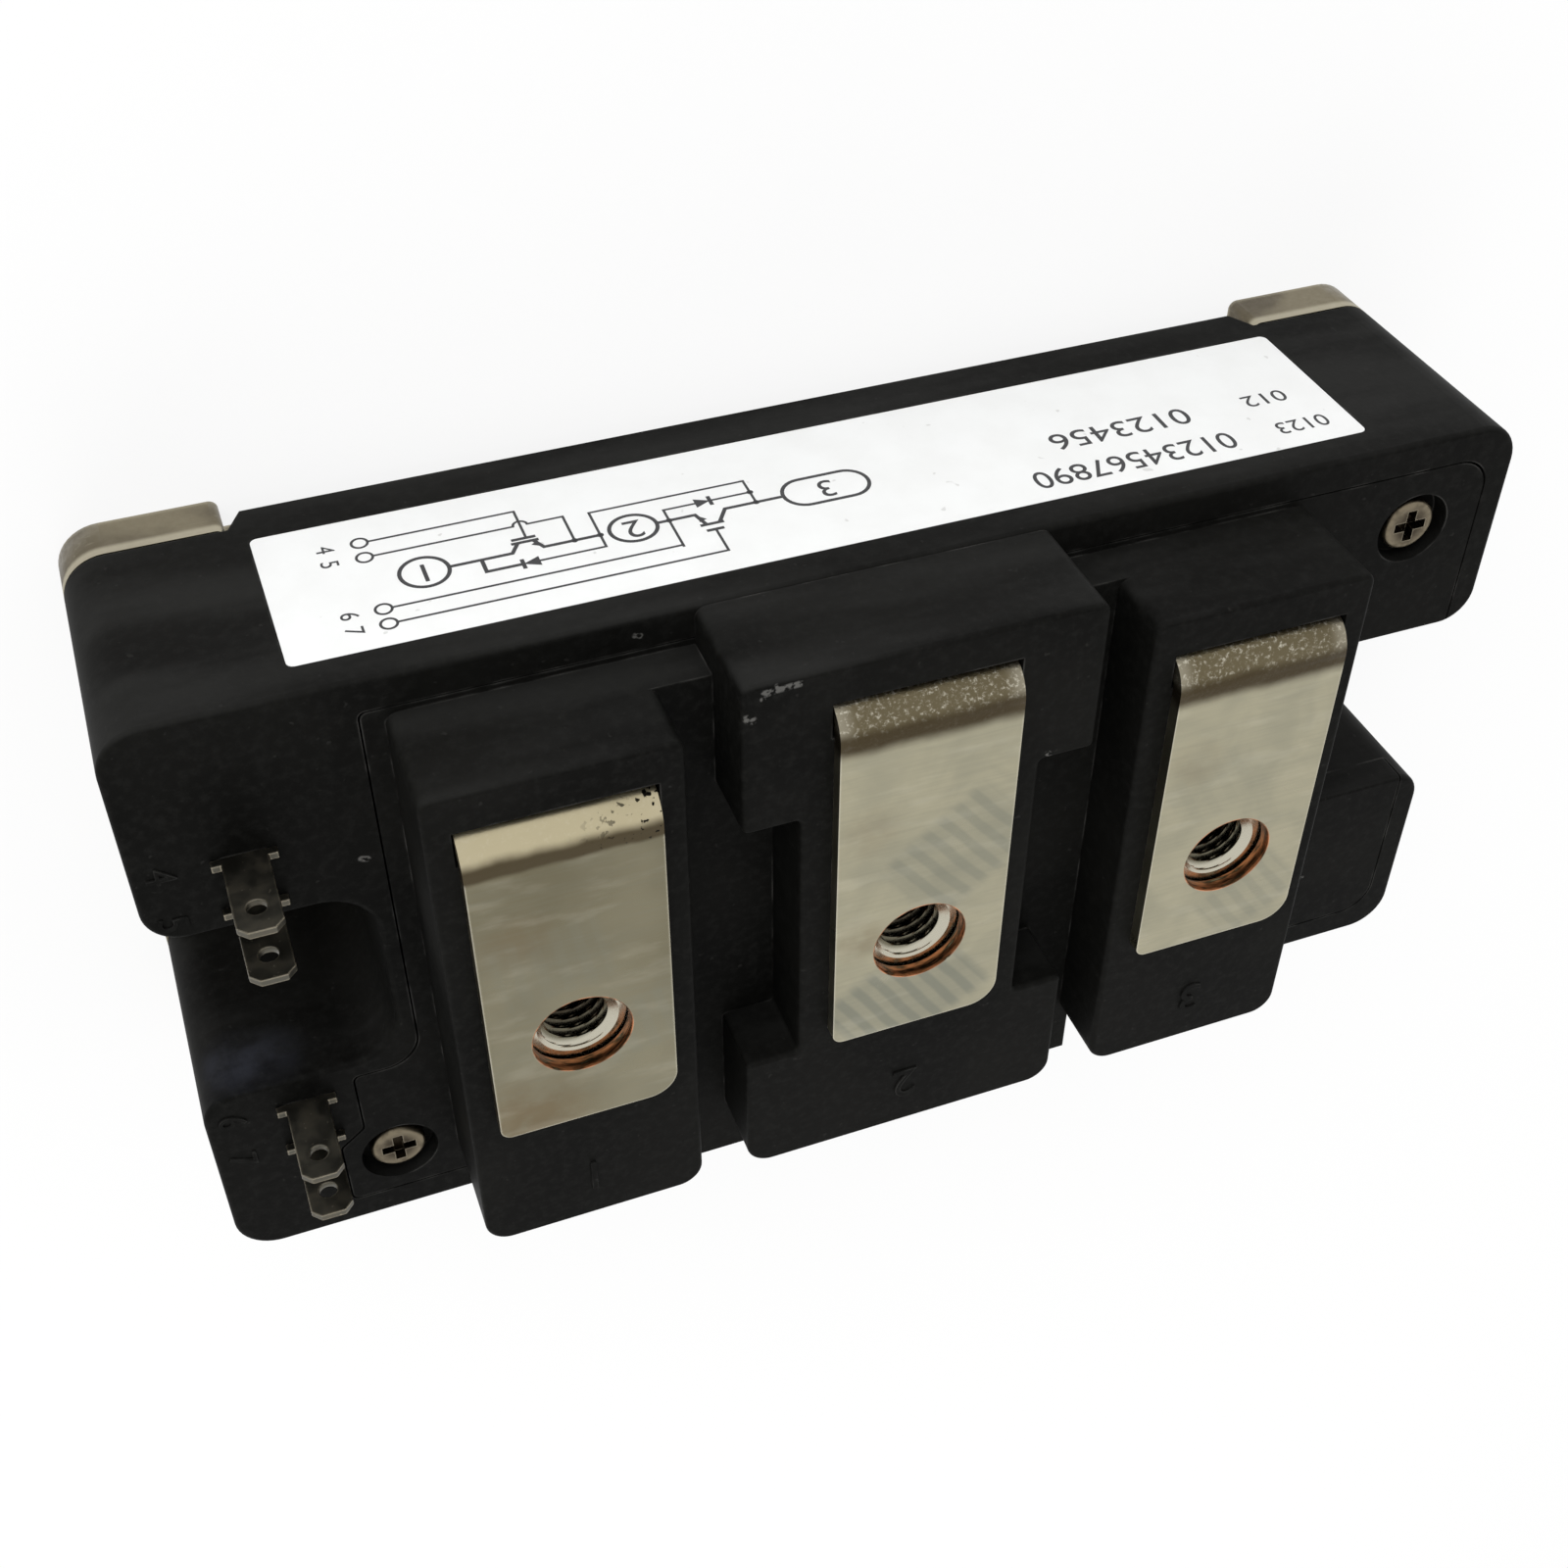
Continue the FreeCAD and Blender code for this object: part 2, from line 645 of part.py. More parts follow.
def circuit(centre_x):
    """The pieces of one substrate with its switch, by name."""
    edge_x = substrate_width / 2 - track_margin
    edge_y = substrate_length / 2 - track_margin
    front_y = -edge_y + front_track_depth
    signal_y = edge_y - signal_track_depth
    collector = track(centre_x, (-edge_x, edge_x), (front_y + track_gap, signal_y - track_gap))
    collector = collector.fuse(track(centre_x, (track_gap, edge_x), (-edge_y, front_y + track_gap)))
    chip_height = (chip_bottom, chip_top)
    solder = chip(centre_x, transistor_chip_place, transistor_chip_size, (track_top, chip_bottom))
    solder = solder.fuse(chip(centre_x, diode_chip_place, diode_chip_size, (track_top, chip_bottom)))
    emitter_loops = []
    for i in range(wire_count):
        x = centre_x + transistor_chip_place[0] + (i - (wire_count - 1) / 2) * wire_spacing
        on_transistor = Vector(x, transistor_chip_place[1], chip_top)
        on_diode_far = Vector(x, diode_chip_place[1] + diode_chip_size / 4, chip_top)
        on_diode_near = Vector(x, diode_chip_place[1] - diode_chip_size / 4, chip_top)
        on_track = Vector(x, front_y - front_track_depth / 4, track_top)
        emitter_loops.append(bond_loop(on_transistor, on_diode_far, wire_diameter))
        emitter_loops.append(bond_loop(on_diode_near, on_track, wire_diameter))
    gate_loops = []
    chip_edge_y = transistor_chip_place[1] + transistor_chip_size / 4
    for side in SIDES:
        x = centre_x + side * gate_wire_spacing / 2
        chip_x = x if side < 0 else centre_x + transistor_chip_place[0] + transistor_chip_size / 4
        start = Vector(chip_x, chip_edge_y, chip_top)
        end = Vector(x, signal_y + signal_track_depth / 2, track_top)
        gate_loops.append(bond_loop(start, end, gate_wire_diameter))
    return {
        "substrate_solder": substrate_layer(centre_x, track_margin, (base_thickness, copper_bottom)),
        "back_copper": substrate_layer(centre_x, track_margin, (copper_bottom, ceramic_bottom)),
        "substrate_ceramic": substrate_layer(centre_x, 0, (ceramic_bottom, track_bottom)),
        "collector_track": collector.removeSplitter(),
        "emitter_track": track(centre_x, (-edge_x, 0), (-edge_y, front_y)),
        "gate_track": track(centre_x, (-edge_x, -track_gap), (signal_y, edge_y)),
        "sense_track": track(centre_x, (0, edge_x), (signal_y, edge_y)),
        "chip_solder": solder,
        "transistor_chip": chip(centre_x, transistor_chip_place, transistor_chip_size, chip_height),
        "diode_chip": chip(centre_x, diode_chip_place, diode_chip_size, chip_height),
        "emitter_wires": Part.makeCompound(emitter_loops),
        "gate_wires": Part.makeCompound(gate_loops),
    }


def signal_lead(row, centre_x, side):
    """Thin lead from a tab's leg down to one of the small signal tracks."""
    leg_x = tab_leg_end - tab_leg_width / 2
    pad_y = substrate_length / 2 - track_margin - signal_track_depth / 2
    pad_x = centre_x + side * (substrate_width / 2 - track_margin - lead_inset)
    points = [Vector(leg_x, row, tab_leg_bottom), Vector(leg_x, row, lead_height),
              Vector(pad_x, pad_y, lead_height), Vector(pad_x, pad_y, track_top)]
    return bent_wire(points, lead_diameter, lead_bend_radius)


def silicone_gel(inner_pieces):
    """Gel poured over the circuit: the lower part of the room, less everything that stands in it."""
    poured = box(span(0, 2 * half_length), span(0, 2 * half_width), (base_thickness, gel_top))
    gel = room_shape(base_thickness).common(poured)
    for piece in screw_bosses() + inner_pieces:
        gel = gel.cut(piece)
    return gel


def build_nodes():
    """Every piece of the module under its own name."""
    tabs = [signal_tab(row) for row in tab_rows]
    nodes = {
        "base_plate": base_plate(),
        "housing_frame": housing_frame(tabs),
        "housing_lid": housing_lid(),
        "frame_seal": frame_seal(),
        "rating_label": rating_label(),
    }
    for index, x in enumerate(terminal_places):
        nodes["terminal_strip_%d" % (index + 1)] = terminal_strip(index)
        nodes["terminal_nut_%d" % (index + 1)] = terminal_nut(x)
    for index, tab in enumerate(tabs):
        nodes["signal_tab_%d" % (index + 1)] = tab
    for index, place in enumerate(lid_screw_places):
        nodes["lid_screw_%d" % (index + 1)] = lid_screw(place)
    centres = [side * substrate_pitch / 2 for side in SIDES]
    for index, centre_x in enumerate(centres):
        for name, shape in circuit(centre_x).items():
            nodes["%s_%d" % (name, index + 1)] = shape
    lead_targets = [(centre_x, side) for centre_x in centres for side in SIDES]
    for index, (row, (centre_x, side)) in enumerate(zip(tab_rows, lead_targets)):
        nodes["signal_lead_%d" % (index + 1)] = signal_lead(row, centre_x, side)
    outer_names = ("base_plate", "housing_frame", "housing_lid", "frame_seal", "rating_label")
    inner_pieces = [shape for name, shape in nodes.items() if name not in outer_names]
    nodes["silicone_gel"] = silicone_gel(inner_pieces)
    return nodes


os.makedirs("parts", exist_ok=True)
for node_name, node_shape in build_nodes().items():
    if not node_shape.isValid():
        raise ValueError(node_name + " is not a valid shape")
    node_shape.exportStep("parts/%s.step" % node_name)
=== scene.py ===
import math

import bmesh
import bpy
from mathutils import Matrix, Vector


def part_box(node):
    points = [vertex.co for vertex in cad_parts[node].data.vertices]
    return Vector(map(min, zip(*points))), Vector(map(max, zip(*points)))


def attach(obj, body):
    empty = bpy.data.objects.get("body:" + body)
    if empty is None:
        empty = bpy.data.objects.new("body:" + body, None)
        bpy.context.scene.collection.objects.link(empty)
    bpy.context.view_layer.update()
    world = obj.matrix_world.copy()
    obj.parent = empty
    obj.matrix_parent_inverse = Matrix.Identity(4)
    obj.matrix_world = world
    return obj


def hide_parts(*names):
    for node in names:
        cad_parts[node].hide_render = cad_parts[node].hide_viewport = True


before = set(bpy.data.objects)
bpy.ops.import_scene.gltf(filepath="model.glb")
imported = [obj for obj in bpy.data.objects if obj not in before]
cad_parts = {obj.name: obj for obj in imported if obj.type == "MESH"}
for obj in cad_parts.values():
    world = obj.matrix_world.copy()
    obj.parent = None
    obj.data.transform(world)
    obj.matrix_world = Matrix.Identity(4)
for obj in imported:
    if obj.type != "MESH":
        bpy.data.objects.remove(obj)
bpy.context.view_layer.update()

bl_info = {
    "name": "Power module dressing",
    "version": (1, 0, 0),
    "blender": (4, 5, 0),
    "location": "View3D > Sidebar > Power module",
    "description": "Finishes, threads, print and stage for a dual power transistor module",
    "category": "Object",
}

# Driving values. The frame is in metres, so the script's sizes are written in millimetres times MM.

MM = 0.001
ROOT = "root"
STRIPS = ("terminal_strip_1", "terminal_strip_2", "terminal_strip_3")
NUTS = ("terminal_nut_1", "terminal_nut_2", "terminal_nut_3")
TABS = ("signal_tab_1", "signal_tab_2", "signal_tab_3", "signal_tab_4")
SCREWS = ("lid_screw_1", "lid_screw_2")
WHITE = (1.0, 1.0, 1.0)

# Size of the built-in font that gives a digit of height 1
FONT_SIZE_PER_HEIGHT = 1.38

# Rubbed and stained places of each strip, in millimetres and degrees, counted from its hole. Bands are
# place, half size, turn and share of grey. Stains are place, radius and share of brown. The painted shade
# is the share of darker colour painted on a strip that reflects less light, and a pitted bend is smooth
# between its pits.
STRIP_WEAR = (
    {"bands": (((1.5, -7.0), 4.0, -10, 0.22), ((-3.5, 0.5), 3.5, -15, 0.30)),
     "stains": (((4.0, 7.0), 6.0, 0.55), ((3.5, -9.5), 3.5, 0.30)),
     "painted_shade": 0.85, "pitted": True},
    {"bands": (((-2.6, -7.4), 5.0, -40, 0.62), ((0.8, 5.2), 5.6, -34, 0.85)),
     "stains": (((4.2, -1.5), 2.6, 0.35), ((3.8, -11.0), 3.0, 0.20)),
     "painted_shade": 0.0, "pitted": False},
    {"bands": (((-2.4, 4.6), 3.8, -38, 0.45), ((2.0, -7.0), 3.5, -30, 0.15)),
     "stains": (((4.0, -9.5), 3.0, 0.20),),
     "painted_shade": 0.0, "pitted": False},
)


def colour_property(name, description, default):
    """A colour that a user would change."""
    return bpy.props.FloatVectorProperty(
        name=name, description=description, default=default, subtype="COLOR", size=3, min=0, max=1)


def length_property(name, description, default):
    """A length that a user would change, in metres."""
    return bpy.props.FloatProperty(
        name=name, description=description, default=default, min=0, unit="LENGTH", precision=6)


def place_property(name, description, default):
    """A place in the scene that a user would change."""
    return bpy.props.FloatVectorProperty(
        name=name, description=description, default=default, subtype="TRANSLATION", unit="LENGTH")


def angle_property(name, description, degrees):
    """An angle that a user would change, given in degrees."""
    return bpy.props.FloatProperty(
        name=name, description=description, default=math.radians(degrees), unit="ROTATION")


def share_property(name, description, default):
    """A plain number that is never negative."""
    return bpy.props.FloatProperty(name=name, description=description, default=default, min=0)


class PlasticSettings(bpy.types.PropertyGroup):
    """Black moulded plastic of the case and the lid."""
    colour: colour_property("Colour", "Main colour of the moulding", (0.0040, 0.0040, 0.0036))
    pale_colour: colour_property("Cloud colour", "Colour of the paler clouds", (0.0074, 0.0073, 0.0065))
    dust_colour: colour_property("Dust", "Colour of the fine mottle of dust", (0.0135, 0.0135, 0.0124))
    # also the colour of the painted highlight along the edges, as well as of the specks and scuffs
    wear_and_highlight_colour: colour_property("Worn colour", "Colour of rubbed edges and scuffs", (0.095, 0.093, 0.087))
    roughness: share_property("Roughness", "Roughness of the moulded skin", 0.46)
    gloss: share_property("Gloss", "Mirror share of the moulded skin", 0.028)
    # painted light: paler streaks painted on the faces that turn to -Y, where the long side catches more
    # light
    side_light_colour: colour_property("Haze", "Dusty haze on the long side's faces", (0.0240, 0.0240, 0.0228))
    # painted reflection: a bluish reflection painted on the wall of the screw notch
    notch_reflection_colour: colour_property(
        "Notch sheen", "Bluish rub on the screw notch's wall", (0.052, 0.056, 0.074))
    # middle of the painted reflection
    notch_reflection_place: place_property("Sheen place", "Middle of the bluish rub", (43.5 * MM, 7.5 * MM, 18.5 * MM))
    grain_size: length_property("Grain", "Size of the moulded grain", 0.38 * MM)
    grain_depth: length_property("Grain depth", "Depth of the moulded grain", 0.012 * MM)
    # width of the painted highlight and rub along an edge
    edge_width: length_property("Edge wear", "Width of the rubbed line along an edge", 0.22 * MM)


class MetalSettings(bpy.types.PropertyGroup):
    """Plated metals: base plate, strips, nuts, tabs and screws."""
    plate_colour: colour_property("Base plate", "Nickel on the base plate", (0.228, 0.198, 0.134))
    # painted highlight: width and colour of the bright line along the base plate's edges
    plate_highlight_width: length_property("Plate edge", "Width of the bright edge of the base plate", 0.65 * MM)
    plate_edge_highlight: colour_property("Plate edge rub", "Nickel on the rubbed edge", (0.477, 0.437, 0.331))
    plate_rounding: length_property("Plate rounding", "Rounding of the base plate's edges", 0.30 * MM)
    tab_rounding: length_property("Tab rounding", "Rounding of the tabs' edges", 0.07 * MM)
    screw_rounding: length_property("Screw rounding", "Rounding of the lid screws' edges", 0.08 * MM)
    plate_dark: colour_property("Base plate stain", "Darker stain on the base plate", (0.115, 0.096, 0.066))
    strip_colour: colour_property("Strip", "Warm nickel on the strips", (0.400, 0.370, 0.262))
    strip_grey: colour_property("Strip rub", "Grey bands rubbed on the strips", (0.215, 0.218, 0.172))
    # painted shade: darker nickel for a strip that reflects less light, darker towards the bend's end
    strip_shade: colour_property("Strip shade", "Tarnished nickel on the strips", (0.135, 0.118, 0.072))
    # painted shade in the band where a bend meets the flat part, and also the dark seams in the holes'
    # walls
    strip_bend_shade_and_seam: colour_property("Strip bend", "Brown nickel on the strips' bends", (0.060, 0.045, 0.024))
    strip_stain: colour_property("Strip stain", "Brown stains on the strips", (0.165, 0.112, 0.055))
    # painted shade: the rough bend's crown, darker where it reflects less light
    strip_bend: colour_property("Strip crown", "Nickel on a rough bend's crown", (0.142, 0.118, 0.070))
    # painted highlight: the smooth bend's crown, brighter than the flat part
    smooth_crown_highlight: colour_property("Smooth crown", "Nickel on a smooth bend's crown", (0.500, 0.440, 0.290))
    # painted glints and edge highlights, and also the bright streaks on the strips
    bright_nickel_and_glint: colour_property("Strip glint", "Bright grain on the strips' bends", (0.800, 0.760, 0.630))
    pit_colour: colour_property("Pits", "Dark of the pits in a smooth bend", (0.006, 0.005, 0.004))
    copper_colour: colour_property("Bare copper", "Copper at the holes' walls", (0.600, 0.250, 0.115))
    nut_colour: colour_property("Nut", "Nickel on the nuts", (0.170, 0.157, 0.110))
    # painted shade down in the nut's bore
    nut_bore_shade: colour_property("Nut depth", "Dark nickel down in the thread", (0.050, 0.040, 0.028))
    tab_colour: colour_property("Tab", "Dull plating on the tabs", (0.105, 0.100, 0.082))
    # painted highlight along the tabs' and screws' edges, and also the whitish worn spots
    tab_rub_and_edge_highlight: colour_property("Tab edge", "Brighter edges of the tabs", (0.470, 0.415, 0.310))
    screw_colour: colour_property("Screw", "Plating on the lid screws", (0.200, 0.168, 0.116))
    # brown stain round the screws' recesses, and painted shade down in them
    screw_stain_and_shade: colour_property("Screw recess", "Stain in the screws' recesses", (0.030, 0.022, 0.014))


class StripSettings(bpy.types.PropertyGroup):
    """Places on the terminal strips."""
    hole_radius: length_property("Hole radius", "Radius of the screw hole in a strip", 3.25 * MM)
    bend_length: length_property("Bend", "Length of the strip that the bend takes", 3.1 * MM)
    edge_radius: length_property("Edge radius", "Rounding of a strip's stamped edges", 0.10 * MM)
    band_pitch: length_property("Band pitch", "Distance between two rubbed bands", 1.35 * MM)


class ThreadSettings(bpy.types.PropertyGroup):
    """Coarse M5 thread of the captive nuts."""
    major_diameter: length_property("Major diameter", "Diameter at the thread's roots", 5.0 * MM)
    minor_diameter: length_property("Minor diameter", "Diameter at the thread's crests", 4.134 * MM)
    pitch: length_property("Pitch", "Rise of one turn", 0.8 * MM)
    mouth_diameter: length_property("Mouth", "Diameter of the countersink", 5.4 * MM)
    mouth_depth: length_property("Mouth depth", "Depth of the countersink", 0.45 * MM)
    chamfer: length_property("Chamfer", "Chamfer of the hexagon's corners", 0.35 * MM)


class LabelSettings(bpy.types.PropertyGroup):
    """Printed label on the long side."""
    paper_colour: colour_property("Film", "White film of the label", (0.815, 0.822, 0.818))
    paper_shade: colour_property("Film mottle", "Darker clouds of the film", (0.73, 0.73, 0.72))
    speck_colour: colour_property("Specks", "Dust on the film", (0.35, 0.34, 0.32))
    ink_colour: colour_property("Ink", "Black ink of the print", (0.022, 0.022, 0.024))
    ink_worn: colour_property("Thin ink", "Ink where the film shows through", (0.160, 0.160, 0.165))
    line_width: length_property("Line", "Width of a thin line of the diagram", 0.17 * MM)
    bold_width: length_property("Bold line", "Width of a thick line of the diagram", 0.26 * MM)
    ink_height: length_property("Ink height", "How far the ink stands proud", 0.012 * MM)
    digit_height: length_property("Digits", "Height of the digits in the ovals", 1.9 * MM)


class MarkSettings(bpy.types.PropertyGroup):
    """Raised digits on the mouldings."""
    block_digit_height: length_property("Block digits", "Height of the digits on the blocks", 3.0 * MM)
    arm_digit_height: length_property("Arm digits", "Height of the digits beside the tabs", 1.9 * MM)
    rise: length_property("Rise", "How far the digits stand proud", 0.14 * MM)
    block_place: length_property("Block place", "Distance of the block digits from the middle", 15.5 * MM)
    arm_place: length_property("Arm place", "Distance of the arm digits beyond the tabs", 3.0 * MM)


class StageSettings(bpy.types.PropertyGroup):
    """Floor, light and camera."""
    floor_radius: length_property("Floor", "Radius of the floor", 3.0)
    floor_colour: colour_property("Floor colour", "Colour of the floor", (0.92, 0.92, 0.915))
    floor_glow: share_property("Floor glow", "Share of plain white in the floor as it is seen", 0.84)
    world_strength: share_property("World", "Strength of the even light from all sides", 0.68)
    key_power: share_property("Key", "Power of the large lamp behind the module, in watts", 1.1)
    fill_power: share_property("Fill", "Power of the lamp beside the camera, in watts", 1.5)
    key_place: place_property("Key place", "Middle of the key lamp", (0.10, 0.30, 0.42))
    fill_place: place_property("Fill place", "Middle of the fill lamp", (0.20, -0.44, 0.20))
    key_size: length_property("Key size", "Side of the key lamp", 0.36)
    fill_size: length_property("Fill size", "Side of the fill lamp", 0.40)
    camera_place: place_property(
        "Camera", "Place of the camera", (40.046 * MM, -95.411 * MM, 111.415 * MM))
    azimuth: angle_property("Azimuth", "Direction that the camera looks in, from +Y towards -X", 21.23)
    elevation: angle_property("Elevation", "Angle of the view below the horizon", 43.87)
    roll: angle_property("Roll", "Turn of the camera about its own axis", 150.84)
    lens: share_property("Lens", "Focal length for a 36 mm sensor, in millimetres", 45.59)


class ModuleSettings(bpy.types.PropertyGroup):
    """All values of the module's dressing."""
    plastic: bpy.props.PointerProperty(type=PlasticSettings)
    metal: bpy.props.PointerProperty(type=MetalSettings)
    strip: bpy.props.PointerProperty(type=StripSettings)
    thread: bpy.props.PointerProperty(type=ThreadSettings)
    label: bpy.props.PointerProperty(type=LabelSettings)
    mark: bpy.props.PointerProperty(type=MarkSettings)
    stage: bpy.props.PointerProperty(type=StageSettings)


# Materials

def opaque(colour):
    """A colour with full alpha, as the node sockets take it."""
    return (colour[0], colour[1], colour[2], 1.0)


class Nodes:
    """The nodes of a material or a world, built from nothing."""

    def __init__(self, owner):
        owner.use_nodes = True
        self.tree = owner.node_tree
        self.tree.nodes.clear()

    def add(self, kind, settings=None, inputs=None):
        """Add a node with its settings, and link or set its inputs."""
        made = self.tree.nodes.new(kind)
        for key, value in (settings or {}).items():
            setattr(made, key, value)
        for key, value in (inputs or {}).items():
            if isinstance(value, bpy.types.NodeSocket):
                self.tree.links.new(value, made.inputs[key])
            else:
                made.inputs[key].default_value = value
        return made

    def math(self, operation, first, second=0.0):
        """Plain arithmetic on two numbers."""
        return self.add("ShaderNodeMath", {"operation": operation}, {0: first, 1: second}).outputs[0]

    def white_rays(self):
        """Mask of the rays that see plain white: from the camera, off a mirror or through glass."""
        path = self.add("ShaderNodeLightPath").outputs
        seen = self.math("MAXIMUM", path["Is Camera Ray"], path["Is Glossy Ray"])
        return self.math("MAXIMUM", seen, path["Is Transmission Ray"])


class Finish(Nodes):
    """A material that is being built from nodes, with one short method for each usual step."""

    def __init__(self, name):
        self.material = bpy.data.materials.new(name)
        super().__init__(self.material)
        self.point = self.add("ShaderNodeTexCoord").outputs["Object"]

    def product(self, *shares):
        """Masks and shares, multiplied."""
        result = shares[0]
        for share in shares[1:]:
            result = self.math("MULTIPLY", result, share)
        return result

    def vector(self, operation, first, second):
        """Arithmetic on two vectors that gives a vector."""
        return self.add("ShaderNodeVectorMath", {"operation": operation}, {0: first, 1: second}).outputs[0]

    def dot(self, first, second):
        """Dot product of two vectors."""
        made = self.add("ShaderNodeVectorMath", {"operation": "DOT_PRODUCT"}, {0: first, 1: second})
        return made.outputs["Value"]

    def length(self, vector):
        """Length of a vector."""
        return self.add("ShaderNodeVectorMath", {"operation": "LENGTH"}, {0: vector}).outputs["Value"]

    def moved(self, shift=(0, 0, 0), turn=(0, 0, 0), stretch=(1, 1, 1)):
        """The object point, shifted, turned and stretched."""
        inputs = {"Vector": self.point, "Location": shift, "Rotation": turn, "Scale": stretch}
        return self.add("ShaderNodeMapping", None, inputs).outputs[0]

    def noise(self, size, detail=2.0, point=None, roughness=0.5, distortion=0.0):
        """Soft noise whose features are about as large as the given size, in metres."""
        inputs = {"Vector": point or self.point, "Scale": 1 / size, "Detail": detail,
                  "Roughness": roughness, "Distortion": distortion}
        return self.add("ShaderNodeTexNoise", None, inputs).outputs[0]

    def waves(self, pitch, point, distortion, detail_size):
        """Parallel bands across X of the point."""
        # this texture's bands are pi / 10 apart at a scale of 1
        inputs = {"Vector": point, "Scale": math.pi / 10 / pitch, "Distortion": distortion,
                  "Detail": 3.0, "Detail Scale": pitch / detail_size}
        return self.add("ShaderNodeTexWave", {"bands_direction": "X"}, inputs).outputs["Fac"]

    def between(self, value, low, high, start=0.0, end=1.0):
        """Turn a range of values smoothly into another range, held at its ends."""
        inputs = {"Value": value, "From Min": low, "From Max": high, "To Min": start, "To Max": end}
        return self.add("ShaderNodeMapRange", {"interpolation_type": "SMOOTHSTEP"}, inputs).outputs[0]

    def mix(self, share, first, second):
        """Blend two colours, each a socket or a plain colour."""
        first, second = (colour if isinstance(colour, bpy.types.NodeSocket) else opaque(colour)
                         for colour in (first, second))
        inputs = {0: share, 6: first, 7: second}
        return self.add("ShaderNodeMix", {"data_type": "RGBA"}, inputs).outputs[2]

    def axis(self, name, point=None):
        """One coordinate of the point."""
        parts = self.add("ShaderNodeSeparateXYZ", None, {0: point or self.point})
        return parts.outputs["XYZ".index(name)]

    def normal_axis(self, name):
        """One coordinate of the surface's own direction."""
        normal = self.add("ShaderNodeNewGeometry").outputs["Normal"]
        return self.axis(name, normal)

    def distance_to(self, place, flatten=(1, 1, 1)):
        """Distance from a place, with axes left out where flatten is 0."""
        away = self.vector("SUBTRACT", self.point, place)
        return self.length(self.vector("MULTIPLY", away, flatten))

    def stroke(self, start, end, width):
        """Mask of a thin stroke between two places."""
        start, end = Vector(start), Vector(end)
        length = (end - start).length
        direction = (end - start) / length
        away = self.vector("SUBTRACT", self.point, start)
        along = self.math("MINIMUM", self.math("MAXIMUM", self.dot(away, direction), 0.0), length)
        inputs = {0: direction, "Scale": along}
        nearest = self.add("ShaderNodeVectorMath", {"operation": "SCALE"}, inputs).outputs[0]
        distance = self.length(self.vector("SUBTRACT", away, nearest))
        return self.between(distance, width / 2, width, 1.0, 0.0)

    def rubbed_patch(self, middle, half_size, turn, pitch):
        """Mask of parallel bands inside a turned square patch that fades at its sides."""
        away = self.vector("SUBTRACT", self.point, middle)
        local = self.add("ShaderNodeMapping", None, {"Vector": away, "Rotation": (0, 0, turn)}).outputs[0]
        bands = self.between(self.waves(pitch, local, 1.6, 2.5 * MM), 0.20, 0.80, 0.50, 1.0)
        across = self.math("ABSOLUTE", self.axis("X", local))
        along = self.math("ABSOLUTE", self.axis("Y", local))
        return self.product(bands, self.between(across, half_size * 0.75, half_size, 1.0, 0.0),
                            self.between(along, half_size * 0.60, half_size * 0.85, 1.0, 0.0))

    def edges(self, width):
        """Mask of the outer edges, about as wide as given."""
        rounded = self.add("ShaderNodeBevel", {"samples": 4}, {"Radius": width}).outputs[0]
        normal = self.add("ShaderNodeNewGeometry").outputs["Normal"]
        return self.between(self.dot(rounded, normal), 0.99, 0.80)

    def bump(self, height, distance, strength=1.0, normal=None):
        """Surface direction after a height of this depth."""
        inputs = {"Height": height, "Distance": distance, "Strength": strength}
        if normal:
            inputs["Normal"] = normal
        return self.add("ShaderNodeBump", None, inputs).outputs[0]

    def surface(self, colour, roughness, normal=None, metallic=0.0, specular=0.5):
        """Close the material with its shader."""
        inputs = {"Base Color": colour, "Roughness": roughness, "Metallic": metallic,
                  "Specular IOR Level": specular}
        if normal:
            inputs["Normal"] = normal
        shader = self.add("ShaderNodeBsdfPrincipled", None, inputs)
        self.add("ShaderNodeOutputMaterial", None, {"Surface": shader.outputs[0]})
        return self.material


